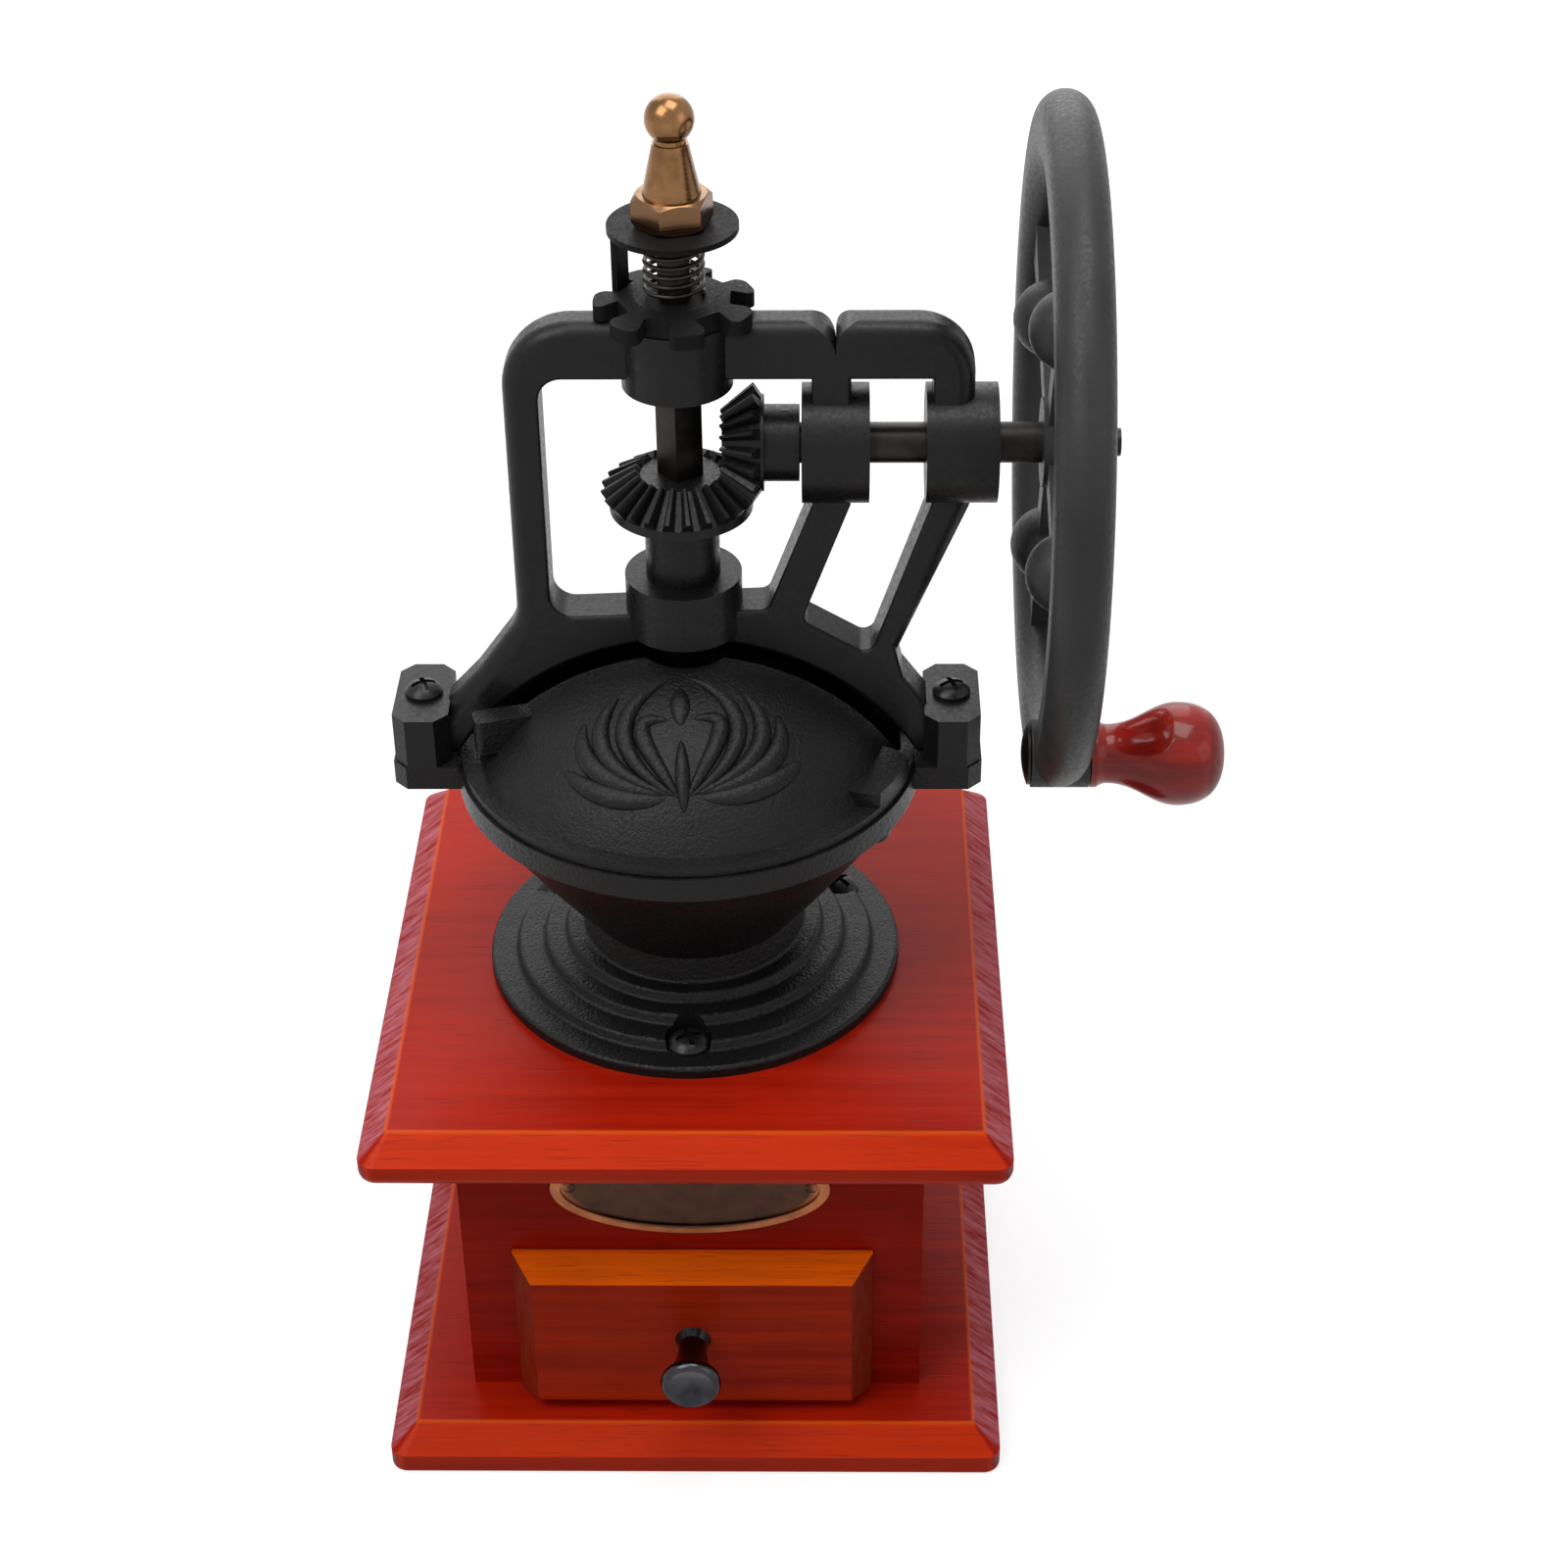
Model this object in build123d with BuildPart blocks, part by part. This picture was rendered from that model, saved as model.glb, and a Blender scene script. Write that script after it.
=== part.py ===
"""Box coffee mill with a hand wheel, an open bevel gear pair and a drawer, at full size in millimetres.

The origin is the centre of the base's underside. +Z is up, the drawer faces -Y, and the hand wheel
stands on the +X side.
"""
import math
import os

from build123d import *

# Wooden box: two moulded square boards with four panels between them
PLATE_SIDE = 145.0
PLATE_CORNER = 4.0
CHAMFER_RUN = 6.4
CHAMFER_DROP = 5.4
CHAMFER_ARRIS = 0.8
BASE_THICK = 10.8
BASE_UNDER_ROUND = 1.0
TOP_THICK = 11.5
TOP_UNDER_ROUND = 3.5
PLATE_OVERHANG = 19.0
BOX_SIDE = PLATE_SIDE - 2 * PLATE_OVERHANG
BOX_HEIGHT = 79.7
WALL = 8.0
CHUTE_R = 17.6

# Drawer
DRAWER_SIDE_ROOM = 15.7
DRAWER_REAR_ROOM = 11.0
DRAWER_WIDTH = BOX_SIDE - 2 * DRAWER_SIDE_ROOM
DRAWER_DEPTH = BOX_SIDE - WALL - DRAWER_REAR_ROOM
DRAWER_SIDE_HEIGHT = 38.0
DRAWER_WALL = 5.0
DRAWER_FLOOR = 4.0
DRAWER_PLAY = 0.5
DRAWER_LIFT = 0.3
DRAWER_HEADROOM = 2.0
DRAWER_STOP_GAP = 0.3
DRAWER_FRONT_LAP = 4.2
DRAWER_FRONT_WIDTH = DRAWER_WIDTH + 2 * DRAWER_FRONT_LAP
DRAWER_FRONT_HEIGHT = 43.6
DRAWER_FRONT_THICK = 8.7
DRAWER_FRONT_EDGE = 1.0
DRAWER_FRONT_FOOT = 0.4
BEVEL_SIDE = 4.8
BEVEL_END = 3.0
KNOB_LENGTH = 15.3
KNOB_STEM_R = 3.3
KNOB_FOOT_R = 4.2
KNOB_FOOT_LENGTH = 2.0
KNOB_DISC_R = 7.0
KNOB_DISC_THICK = 3.4
KNOB_DISH = 1.1
KNOB_DISH_R = 5.4
KNOB_SCREW_R = 1.7
KNOB_SCREW_GRIP = 8.0

# Oval badge on the box front
BADGE_HALF_WIDTH = 32.0
BADGE_HALF_HEIGHT = 13.5
BADGE_THICK = 1.0
BADGE_RIM = 2.2
BADGE_RIM_RISE = 0.6
BADGE_TOP_GAP = 2.2
BADGE_PIN_INSET = 4.2
BADGE_PIN_R = 0.8
BADGE_PIN_HEAD_R = 1.4
BADGE_PIN_HEAD = 0.7
BADGE_PIN_LENGTH = 5.0

# Cast mill body: stepped flange, neck and bowl
FLANGE_R = 48.3
FLANGE_EDGE = 2.8
STEP_RADII = (41.3, 34.8, 29.6)
STEP_RISE = 2.3
STEP_DRAFT = 1.0
STEP_ROUND = 0.9
NECK_R = 25.0
NECK_TOP = 16.0
BOWL_R = 52.3
BOWL_BAND = 5.6
BOWL_BAND_STEP = 1.4
BOWL_HEIGHT = 58.5
BOWL_BULGE = 0.4
BOWL_WALL = 4.2
EAR_LENGTH = 13.7
EAR_REACH = BOWL_R + EAR_LENGTH
EAR_HALF_DEPTH = 12.0
EAR_THICK = 5.8
EAR_RISE = 1.5
EAR_CHAMFER = 3.0
FLANGE_SCREW_CIRCLE = 39.5
FLANGE_SCREWS = 3
FLANGE_SCREW_SPOT = 5.4

# Burrs, with the grinding gap of the finest setting
RING_R = 20.6
RING_HEIGHT = 16.0
RING_MOUTH_R = 18.6
RING_WAIST_R = 12.6
RING_WAIST = 10.0
RING_FLUTES = 12
CONE_R = 16.0
CONE_TOP_R = 8.0
CONE_HEIGHT = 18.0
CONE_LIFT = 1.0
CONE_FLUTES = 8
FLUTE_WIDTH = 2.0
FLUTE_SKEW = 25.0
GRIND_GAP = 0.45
BURR_NUT_FLATS = 11.0
BURR_NUT_THICK = 4.6

# Domed covers over the bowl, split along the bridge
LID_EDGE_STEP = 0.8
LID_EDGE_R = BOWL_R - LID_EDGE_STEP
DOME_EDGE = 3.5
DOME_SPRING_R = LID_EDGE_R - DOME_EDGE
DOME_HEIGHT = 26.7
DOME_R = (DOME_SPRING_R**2 + DOME_HEIGHT**2) / (2 * DOME_HEIGHT)
DOME_WALL = 2.4
LID_GAP = 0.3
LID_EDGE_THICK = 2.0
LID_SEAM = 6.2
LID_NOTCH_R = 10.5
COVER_LIP = 2.0
COVER_LIP_WALL = 2.2
THUMB_INSET = 9.5
THUMB_RADIUS = LID_EDGE_R - THUMB_INSET
THUMB_ANGLE = 195.0
THUMB_LENGTH = 13.0
THUMB_WIDTH = 5.5
THUMB_RISE = 6.0
THUMB_ROUND = 1.6
PIVOT_INSET = 7.1
PIVOT_ANGLE = -24.85
PIVOT_X = (BOWL_R - PIVOT_INSET) * math.cos(math.radians(PIVOT_ANGLE))
PIVOT_Y = (BOWL_R - PIVOT_INSET) * math.sin(math.radians(PIVOT_ANGLE))
PIVOT_BOSS_R = 9.5
PIVOT_BOSS_TOP = 5.6
PIVOT_PIN_R = 2.0
PIVOT_PIN_RISE = 4.4
PIVOT_PIN_SINK = 8.0
PIVOT_POST_R = 4.6
PIVOT_POST_DEPTH = 11.0

# Cast bridge: heights are measured up from the ears that it stands on
BRIDGE_THICK = 11.0
BRIDGE_ROUND = 3.6
ARCH_GAP = 3.0
POST_X = 36.7
POST_WIDTH = 7.7
BAR_TOP = 105.0
BAR_BOTTOM = 92.8
BAR_END_X = 62.3
BAR_LEFT_ROUND = 15.0
BAR_RIGHT_ROUND = 12.0
WINDOW_FLOOR = 35.0
WINDOW_ROUND = 5.0
WINDOW_EDGE_ROUND = 1.0
LEG_TOP = 63.0
LEG_WIDTH = 8.3
INNER_LEG_TOP_X = 28.1
INNER_LEG_FOOT_X = 18.4
OUTER_LEG_TOP_X = 53.5
OUTER_LEG_FOOT_X = 40.8
LEG_FOOT = 25.3
LEG_FOOT_WIDTH = 6.0
SHOULDER_INSET = 6.4
SHOULDER_RISE = 19.8
SHOULDER_ROUND = 5.0
WAIST_RISE = 33.5
WAIST_ROUND = 12.0
KNEE_ROUND = 9.0
SADDLE_X = 33.2
SADDLE_LEFT_R = 7.5
SADDLE_RIGHT_R = 5.0
LUG_GAP = 0.7
LUG_WIDTH = 12.5
LUG_SCREW_INSET = 6.2
LUG_THICK = 12.3
LUG_INNER_X = BOWL_R + LUG_GAP
LUG_OUTER_X = LUG_INNER_X + LUG_WIDTH
LUG_SCREW_X = LUG_INNER_X + LUG_SCREW_INSET
SHOULDER_X = LUG_INNER_X - SHOULDER_INSET
TOP_BOSS_R = 11.75
TOP_BOSS_DROP = 3.0
LOW_BOSS_R = 12.8
LOW_BOSS_BOTTOM = 31.0
LOW_BOSS_TOP = 44.0
SHAFT_BOSS_R = 12.8
INNER_BOSS_X = (26.0, 40.3)
OUTER_BOSS_X = (52.2, 67.4)
SHAFT_RISE = 75.5

# Straight bevel gear pair at right angles
GEAR_TEETH = 24
PINION_TEETH = 17
MODULE = 1.37
PRESSURE_ANGLE = 20.0
FACE_WIDTH = 9.0
DEDENDUM_FACTOR = 1.2
BACKLASH = 0.16
TOOTH_ROOT_DEPTH = 0.5
GEAR_BACK = 2.2
PINION_BACK = 0.6
SLEEVE_R = 8.1
PINION_HUB_R = 8.2
PINION_END_GAP = 0.5
PINION_PIN_R = 1.25

# Spindle and the stack on top of it
SPINDLE_SQUARE = 7.0
SPINDLE_R = 3.5
SQUARE_GAP = 0.5
DIAL_R = 17.0
DIAL_HUB_R = 8.6
DIAL_THICK = 4.6
DIAL_EDGE_THICK = 3.2
DIAL_NOTCHES = 7
DIAL_NOTCH_WIDTH = 6.2
DIAL_NOTCH_FLOOR = 11.4
DIAL_LOBE_ROUND = 1.8
TAB_ANGLE = 153.0
TAB_WIDTH = 4.8
TAB_DEPTH = 1.9
SPRING_R = 6.45
SPRING_WIRE = 1.0
SPRING_LENGTH = 14.5
SPRING_TURNS = 6.5
SPRING_SEAT = 0.1
LOCK_PLATE_R = 13.55
LOCK_PLATE_THICK = 1.3
FINIAL_FLATS = 14.8
FINIAL_HEX = 6.6
FINIAL_HEX_CHAMFER = 1.0
FINIAL_CONE_R = 6.05
FINIAL_CONE_TOP_R = 3.7
FINIAL_CONE = 10.7
FINIAL_BALL_R = 5.1
FINIAL_NECK = 1.0
FINIAL_GRIP = 7.0

# Drive shaft, hand wheel and turned handle
SHAFT_R = 4.35
WHEEL_X = 80.5
WHEEL_HUB_X = (76.8, 85.5)
WHEEL_HUB_R = 9.5
SPIGOT_R = 3.0
SPIGOT_THREAD = 8.0
RIM_R = 65.0
RIM_WIDTH = 11.6
RIM_DEPTH = 16.2
SPOKES = 4
SPOKE_ANGLE = 22.0
SPOKE_THICK = 5.6
SPOKE_WIDTH = 6.4
SPOKE_FLARE = 13.0
SPOKE_FLARE_LENGTH = 12.0
SPOKE_BALL_R = 8.5
SPOKE_BALL_CIRCLE = 35.0
WHEEL_WASHER_R = 7.0
WHEEL_WASHER_THICK = 1.2
WHEEL_NUT_FLATS = 10.0
WHEEL_NUT_THICK = 5.0
HANDLE_ANGLE = 235.0
HANDLE_CIRCLE = 66.0
HANDLE_LENGTH = 28.4
PAD_RISE = 0.3
HANDLE_FOOT_R = 7.2
HANDLE_NECK_R = 6.3
HANDLE_NECK = 3.6
HANDLE_BULB_R = 11.0
HANDLE_BULB = 18.4
HANDLE_BOLT_R = 2.5
HANDLE_BOLT_GRIP = 20.0
HANDLE_BOLT_HEAD_R = 6.6
HANDLE_BOLT_HEAD = 1.7

# Fasteners and fits
FLANGE_HEAD_R = 4.7
LUG_HEAD_R = 4.25
PAN_HEAD = 3.1
PAN_EDGE_SHARE = 0.3
CROSS_LENGTH_SHARE = 1.3
CROSS_WIDTH_SHARE = 0.27
CROSS_DEPTH_SHARE = 1.1
CROSS_TURN = 20.0
PAN_SHANK_R = 2.0
FLANGE_SCREW_GRIP = 9.0
BASE_SCREW_LENGTH = 28.0
BASE_SCREW_R = 2.0
BASE_SCREW_HEAD_R = 4.0
BASE_SCREW_SINK = 0.4
BASE_SCREW_Y = 30.0
RUNNING_FIT = 0.05
FIXED_FIT = 0.02
FACE_GAP = 0.3

# Heights of the stack, from the table up
BOX_TOP = BASE_THICK + BOX_HEIGHT
TOP_Z = BOX_TOP + TOP_THICK
RIM_Z = TOP_Z + BOWL_HEIGHT
EAR_Z = RIM_Z + EAR_RISE
SHAFT_Z = EAR_Z + SHAFT_RISE
BOSS_TOP_Z = EAR_Z + BAR_TOP
BOSS_BOTTOM_Z = EAR_Z + BAR_BOTTOM - TOP_BOSS_DROP
DIAL_Z = BOSS_TOP_Z + FACE_GAP
DIAL_TOP_Z = DIAL_Z + DIAL_THICK
LOCK_PLATE_Z = DIAL_TOP_Z + SPRING_LENGTH
FINIAL_Z = LOCK_PLATE_Z + LOCK_PLATE_THICK
CONE_Z = TOP_Z + CONE_LIFT
DOME_Z = RIM_Z + LID_GAP + LID_EDGE_THICK / 2 - math.sqrt(DOME_R**2 - DOME_SPRING_R**2)
FRONT_Y = -BOX_SIDE / 2
DRAWER_FRONT_Y = FRONT_Y - DRAWER_STOP_GAP - DRAWER_FRONT_THICK
DRAWER_Z = BASE_THICK + DRAWER_LIFT
FRONT_BOTTOM_Z = BASE_THICK + DRAWER_FRONT_FOOT
KNOB_Z = FRONT_BOTTOM_Z + DRAWER_FRONT_HEIGHT / 2 + 1.2
BADGE_Z = BOX_TOP - BADGE_TOP_GAP - BADGE_HALF_HEIGHT
HANDLE_Y = HANDLE_CIRCLE * math.cos(math.radians(HANDLE_ANGLE))
HANDLE_Z = SHAFT_Z + HANDLE_CIRCLE * math.sin(math.radians(HANDLE_ANGLE))
RIM_OUTER_X = WHEEL_X + RIM_WIDTH / 2 + PAD_RISE
RIM_INNER_X = WHEEL_X - RIM_WIDTH / 2 - PAD_RISE
PINION_HUB_END = INNER_BOSS_X[0] - PINION_END_GAP

SHAFT_AXIS = Axis((0, 0, SHAFT_Z), (1, 0, 0))
HANDLE_AXIS = Axis((0, HANDLE_Y, HANDLE_Z), (1, 0, 0))
KNOB_AXIS = Axis((0, 0, KNOB_Z), (0, 1, 0))

os.makedirs("parts", exist_ok=True)


def moulded_board(thick, under_round):
    """Square board with a broad mitred chamfer round the top and a rounded edge underneath."""
    flat_side = PLATE_SIDE - 2 * CHAMFER_RUN
    with BuildPart() as board:
        with BuildSketch():
            RectangleRounded(PLATE_SIDE, PLATE_SIDE, PLATE_CORNER)
        extrude(amount=thick - CHAMFER_DROP)
        with BuildSketch(Plane.XY.offset(thick - CHAMFER_DROP)):
            RectangleRounded(PLATE_SIDE, PLATE_SIDE, PLATE_CORNER)
        with BuildSketch(Plane.XY.offset(thick)):
            RectangleRounded(flat_side, flat_side, CHAMFER_ARRIS)
        loft(ruled=True)
        fillet(board.edges().group_by(Axis.Z)[0], under_round)
    return board.part


def cap_middle(radius, edge, crown):
    """Middle point of the arc from an edge circle to the crown of a round cap on the axis."""
    rise = crown - edge
    cap_r = (radius**2 + rise**2) / (2 * rise)
    half_angle = math.asin(radius / cap_r) / 2 if abs(rise) < radius else math.pi / 4
    return cap_r * math.sin(half_angle), crown - cap_r + cap_r * math.cos(half_angle)


def pan_head_screw(head_r, head, shank_r, grip, recess=False):
    """Domed screw that sits on the plane z = 0 and points down, with a cross recess if asked."""
    edge = head * PAN_EDGE_SHARE
    with BuildPart() as screw:
        with BuildSketch(Plane.XZ):
            with BuildLine():
                Polyline((0, head), (0, -grip), (shank_r, -grip), (shank_r, 0), (head_r, 0), (head_r, edge))
                ThreePointArc((head_r, edge), cap_middle(head_r, edge, head), (0, head))
            make_face()
        revolve(axis=Axis.Z)
        if recess:
            with Locations((0, 0, head)):
                for turn in (CROSS_TURN, CROSS_TURN + 90):
                    Box(CROSS_LENGTH_SHARE * head_r, CROSS_WIDTH_SHARE * head_r, CROSS_DEPTH_SHARE * head,
                        rotation=(0, 0, turn), mode=Mode.SUBTRACT)
    return screw.part


def hex_nut(flats, thick, bore_r):
    """Plain hexagon nut that stands on the plane z = 0."""
    with BuildPart() as nut:
        with BuildSketch():
            RegularPolygon(flats / 2, 6, major_radius=False)
            Circle(bore_r, mode=Mode.SUBTRACT)
        extrude(amount=thick)
    return nut.part


def involute(angle):
    """The involute function of an angle in radians."""
    return math.tan(angle) - angle


def bevel_teeth(teeth, mate_teeth, back, first_angle):
    """Straight bevel gear with its pitch apex at the origin and its back towards -Z."""
    pitch_r = MODULE * teeth / 2
    cone = math.atan(teeth / mate_teeth)
    cone_length = pitch_r / math.sin(cone)
    inner_scale = 1 - FACE_WIDTH / cone_length
    virtual_r = pitch_r / math.cos(cone)
    pressure = math.radians(PRESSURE_ANGLE)
    base_r = virtual_r * math.cos(pressure)
    half_angle = (math.pi * MODULE / 2 - BACKLASH) / (2 * virtual_r)
    dedendum = DEDENDUM_FACTOR * MODULE

    def half_width(height):
        radius = virtual_r + height
        local = math.acos(min(1.0, base_r / radius))
        return radius * (half_angle + involute(pressure) - involute(local))

    heights = [-dedendum - TOOTH_ROOT_DEPTH, -dedendum / 2, 0, MODULE / 2, MODULE]
    flank = [(half_width(h), h) for h in heights]
    outline = flank + [(-w, h) for w, h in reversed(flank)]
    large_end = Vector(pitch_r, 0, -cone_length * math.cos(cone))
    along = Vector(math.sin(cone), 0, -math.cos(cone))
    root_r = pitch_r - dedendum * math.cos(cone)
    root_z = large_end.Z - dedendum * math.sin(cone)

    with BuildPart() as tooth:
        for scale in (1.0, inner_scale):
            with BuildSketch(Plane(origin=large_end * scale, x_dir=(0, 1, 0), z_dir=along)):
                Polygon([(w * scale, h * scale) for w, h in outline], align=None)
        loft(ruled=True)
    with BuildPart() as gear:
        with BuildSketch(Plane.XZ):
            Polygon([(0, root_z * inner_scale), (root_r * inner_scale, root_z * inner_scale),
                     (root_r, root_z), (root_r, root_z - back), (0, root_z - back)], align=None)
        revolve(axis=Axis.Z)
        with PolarLocations(0, teeth, start_angle=first_angle):
            add(tooth.part)
    return gear.part


def half_dome(edge_bottom, edge_top, front):
    """Half of a cast dome with a flat edge ring, on one side of the bridge."""
    inner_r = DOME_R - DOME_WALL
    ring_inner_r = math.sqrt(inner_r**2 - (edge_bottom - DOME_Z)**2)
    ring_outer_r = math.sqrt(DOME_R**2 - (edge_top - DOME_Z)**2)
    middle = math.radians(65)
    side = -1 if front else 1
    with BuildPart() as dome:
        with BuildSketch(Plane.XZ):
            with BuildLine():
                Polyline((0, DOME_Z + inner_r), (0, DOME_Z + DOME_R))
                ThreePointArc((0, DOME_Z + DOME_R),
                              (DOME_R * math.cos(middle), DOME_Z + DOME_R * math.sin(middle)),
                              (ring_outer_r, edge_top))
                Polyline((ring_outer_r, edge_top), (LID_EDGE_R, edge_top), (LID_EDGE_R, edge_bottom),
                         (ring_inner_r, edge_bottom))
                ThreePointArc((ring_inner_r, edge_bottom),
                              (inner_r * math.cos(middle), DOME_Z + inner_r * math.sin(middle)),
                              (0, DOME_Z + inner_r))
            make_face()
        revolve(axis=Axis.Z)
        with BuildSketch(Plane.XY.offset(edge_bottom)):
            with Locations((0, side * (LID_SEAM + LID_EDGE_R / 2))):
                Rectangle(2 * LID_EDGE_R, LID_EDGE_R)
        extrude(amount=DOME_R, mode=Mode.INTERSECT)
        with BuildSketch(Plane.XY.offset(edge_bottom)):
            Circle(LID_NOTCH_R)
        extrude(amount=DOME_R, mode=Mode.SUBTRACT)
    return dome.part


def helix_node(quarter, radius, rise, start_z):
    """Point and unit tangent of a coil after a number of quarter turns."""
    angle = quarter * math.pi / 2
    climb = rise * 2 / math.pi
    point = Vector(radius * math.cos(angle), radius * math.sin(angle), start_z + rise * quarter)
    tangent = Vector(-radius * math.sin(angle), radius * math.cos(angle), climb).normalized()
    return point, tangent


# Wooden box
base_blank = moulded_board(BASE_THICK, BASE_UNDER_ROUND)
base_screw_x = (BOX_SIDE - WALL) / 2
base_screw_places = [(x, y) for x in (-base_screw_x, base_screw_x) for y in (-BASE_SCREW_Y, BASE_SCREW_Y)]

with BuildPart() as base_plate:
    add(base_blank)
    with Locations(Plane((0, 0, 0), x_dir=(1, 0, 0), z_dir=(0, 0, -1))):
        with Locations(*[(x, -y) for x, y in base_screw_places]):
            CounterSinkHole(BASE_SCREW_R + RUNNING_FIT, BASE_SCREW_HEAD_R + BASE_SCREW_SINK)
base_plate.part.label = "base_plate"

with BuildPart() as base_screw:
    with BuildSketch(Plane.XZ):
        Polygon([(0, BASE_SCREW_SINK), (BASE_SCREW_HEAD_R, BASE_SCREW_SINK),
                 (BASE_SCREW_R, BASE_SCREW_SINK + BASE_SCREW_HEAD_R - BASE_SCREW_R),
                 (BASE_SCREW_R, BASE_SCREW_LENGTH), (0, BASE_SCREW_LENGTH)], align=None)
    revolve(axis=Axis.Z)

with BuildPart() as base_screws:
    with Locations(*base_screw_places):
        add(base_screw.part)
base_screws.part.label = "base_screws"

top_blank = moulded_board(TOP_THICK, TOP_UNDER_ROUND)
flange_screw_r = PAN_SHANK_R + FIXED_FIT

with BuildPart() as top_plate:
    with Locations((0, 0, BOX_TOP)):
        add(top_blank)
    with Locations((0, 0, TOP_Z)):
        Hole(CHUTE_R)
        with PolarLocations(FLANGE_SCREW_CIRCLE, FLANGE_SCREWS, start_angle=-90):
            Hole(flange_screw_r, depth=FLANGE_SCREW_GRIP)
top_plate.part.label = "top_plate"

opening_width = DRAWER_WIDTH + 2 * DRAWER_PLAY
opening_height = DRAWER_LIFT + DRAWER_SIDE_HEIGHT + DRAWER_HEADROOM
badge_pin_x = BADGE_HALF_WIDTH - BADGE_PIN_INSET

with BuildPart() as front_panel:
    with BuildSketch(Plane.XZ.offset(-FRONT_Y)):
        with Locations((0, BASE_THICK)):
            Rectangle(BOX_SIDE, BOX_HEIGHT, align=(Align.CENTER, Align.MIN))
            Rectangle(opening_width, opening_height, align=(Align.CENTER, Align.MIN), mode=Mode.SUBTRACT)
    extrude(amount=-WALL)
    with BuildSketch(Plane.XZ.offset(-FRONT_Y)):
        with Locations((-badge_pin_x, BADGE_Z), (badge_pin_x, BADGE_Z)):
            Circle(BADGE_PIN_R + FIXED_FIT)
    extrude(amount=-BADGE_PIN_LENGTH, mode=Mode.SUBTRACT)
front_panel.part.label = "front_panel"

with BuildPart() as back_panel:
    with BuildSketch(Plane.XZ.offset(FRONT_Y)):
        with Locations((0, BASE_THICK)):
            Rectangle(BOX_SIDE, BOX_HEIGHT, align=(Align.CENTER, Align.MIN))
    extrude(amount=WALL)
back_panel.part.label = "back_panel"

side_depth = BOX_SIDE - 2 * WALL
screw_bite = BASE_SCREW_LENGTH - BASE_THICK


def side_panel(x):
    """One of the two panels between the front and the back, with pilot holes for the base screws."""
    with BuildPart() as panel:
        with BuildSketch(Plane.XY.offset(BASE_THICK)):
            with Locations((x, 0)):
                Rectangle(WALL, side_depth)
            with Locations((x, -BASE_SCREW_Y), (x, BASE_SCREW_Y)):
                Circle(BASE_SCREW_R + FIXED_FIT, mode=Mode.SUBTRACT)
        extrude(amount=screw_bite)
        with BuildSketch(Plane.XY.offset(BASE_SCREW_LENGTH)):
            with Locations((x, 0)):
                Rectangle(WALL, side_depth)
        extrude(amount=BOX_TOP - BASE_SCREW_LENGTH)
    return panel.part


left_panel = side_panel(-base_screw_x)
left_panel.label = "left_panel"
right_panel = side_panel(base_screw_x)
right_panel.label = "right_panel"

# Drawer
with BuildPart() as drawer_front:
    front_centre = (0, FRONT_BOTTOM_Z + DRAWER_FRONT_HEIGHT / 2)
    back_offset = -FRONT_Y + DRAWER_STOP_GAP
    with BuildSketch(Plane.XZ.offset(back_offset)):
        with Locations(front_centre):
            Rectangle(DRAWER_FRONT_WIDTH, DRAWER_FRONT_HEIGHT)
    extrude(amount=DRAWER_FRONT_EDGE)
    with BuildSketch(Plane.XZ.offset(back_offset + DRAWER_FRONT_EDGE)):
        with Locations(front_centre):
            Rectangle(DRAWER_FRONT_WIDTH, DRAWER_FRONT_HEIGHT)
    with BuildSketch(Plane.XZ.offset(-DRAWER_FRONT_Y)):
        with Locations(front_centre):
            Rectangle(DRAWER_FRONT_WIDTH - 2 * BEVEL_SIDE, DRAWER_FRONT_HEIGHT - 2 * BEVEL_END)
    loft(ruled=True)
    with BuildSketch(Plane.XZ.offset(back_offset)):
        with Locations((0, KNOB_Z)):
            Circle(KNOB_SCREW_R + RUNNING_FIT)
    extrude(amount=DRAWER_FRONT_THICK, mode=Mode.SUBTRACT)
drawer_front.part.label = "drawer_front"

drawer_front_back_y = FRONT_Y - DRAWER_STOP_GAP
drawer_rear_y = drawer_front_back_y + DRAWER_DEPTH


def drawer_side(x):
    """One long wall of the drawer."""
    with BuildPart() as wall:
        with BuildSketch(Plane.XY.offset(DRAWER_Z)):
            with Locations((x, drawer_front_back_y)):
                Rectangle(DRAWER_WALL, DRAWER_DEPTH, align=(Align.CENTER, Align.MIN))
        extrude(amount=DRAWER_SIDE_HEIGHT)
    return wall.part


drawer_side_x = (DRAWER_WIDTH - DRAWER_WALL) / 2
drawer_inner_width = DRAWER_WIDTH - 2 * DRAWER_WALL
drawer_left_side = drawer_side(-drawer_side_x)
drawer_left_side.label = "drawer_left_side"
drawer_right_side = drawer_side(drawer_side_x)
drawer_right_side.label = "drawer_right_side"

with BuildPart() as drawer_back:
    with BuildSketch(Plane.XY.offset(DRAWER_Z)):
        with Locations((0, drawer_rear_y)):
            Rectangle(drawer_inner_width, DRAWER_WALL, align=(Align.CENTER, Align.MAX))
    extrude(amount=DRAWER_SIDE_HEIGHT)
drawer_back.part.label = "drawer_back"

with BuildPart() as drawer_floor:
    with BuildSketch(Plane.XY.offset(DRAWER_Z)):
        with Locations((0, drawer_front_back_y)):
            Rectangle(drawer_inner_width, DRAWER_DEPTH - DRAWER_WALL, align=(Align.CENTER, Align.MIN))
    extrude(amount=DRAWER_FLOOR)
drawer_floor.part.label = "drawer_floor"

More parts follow.
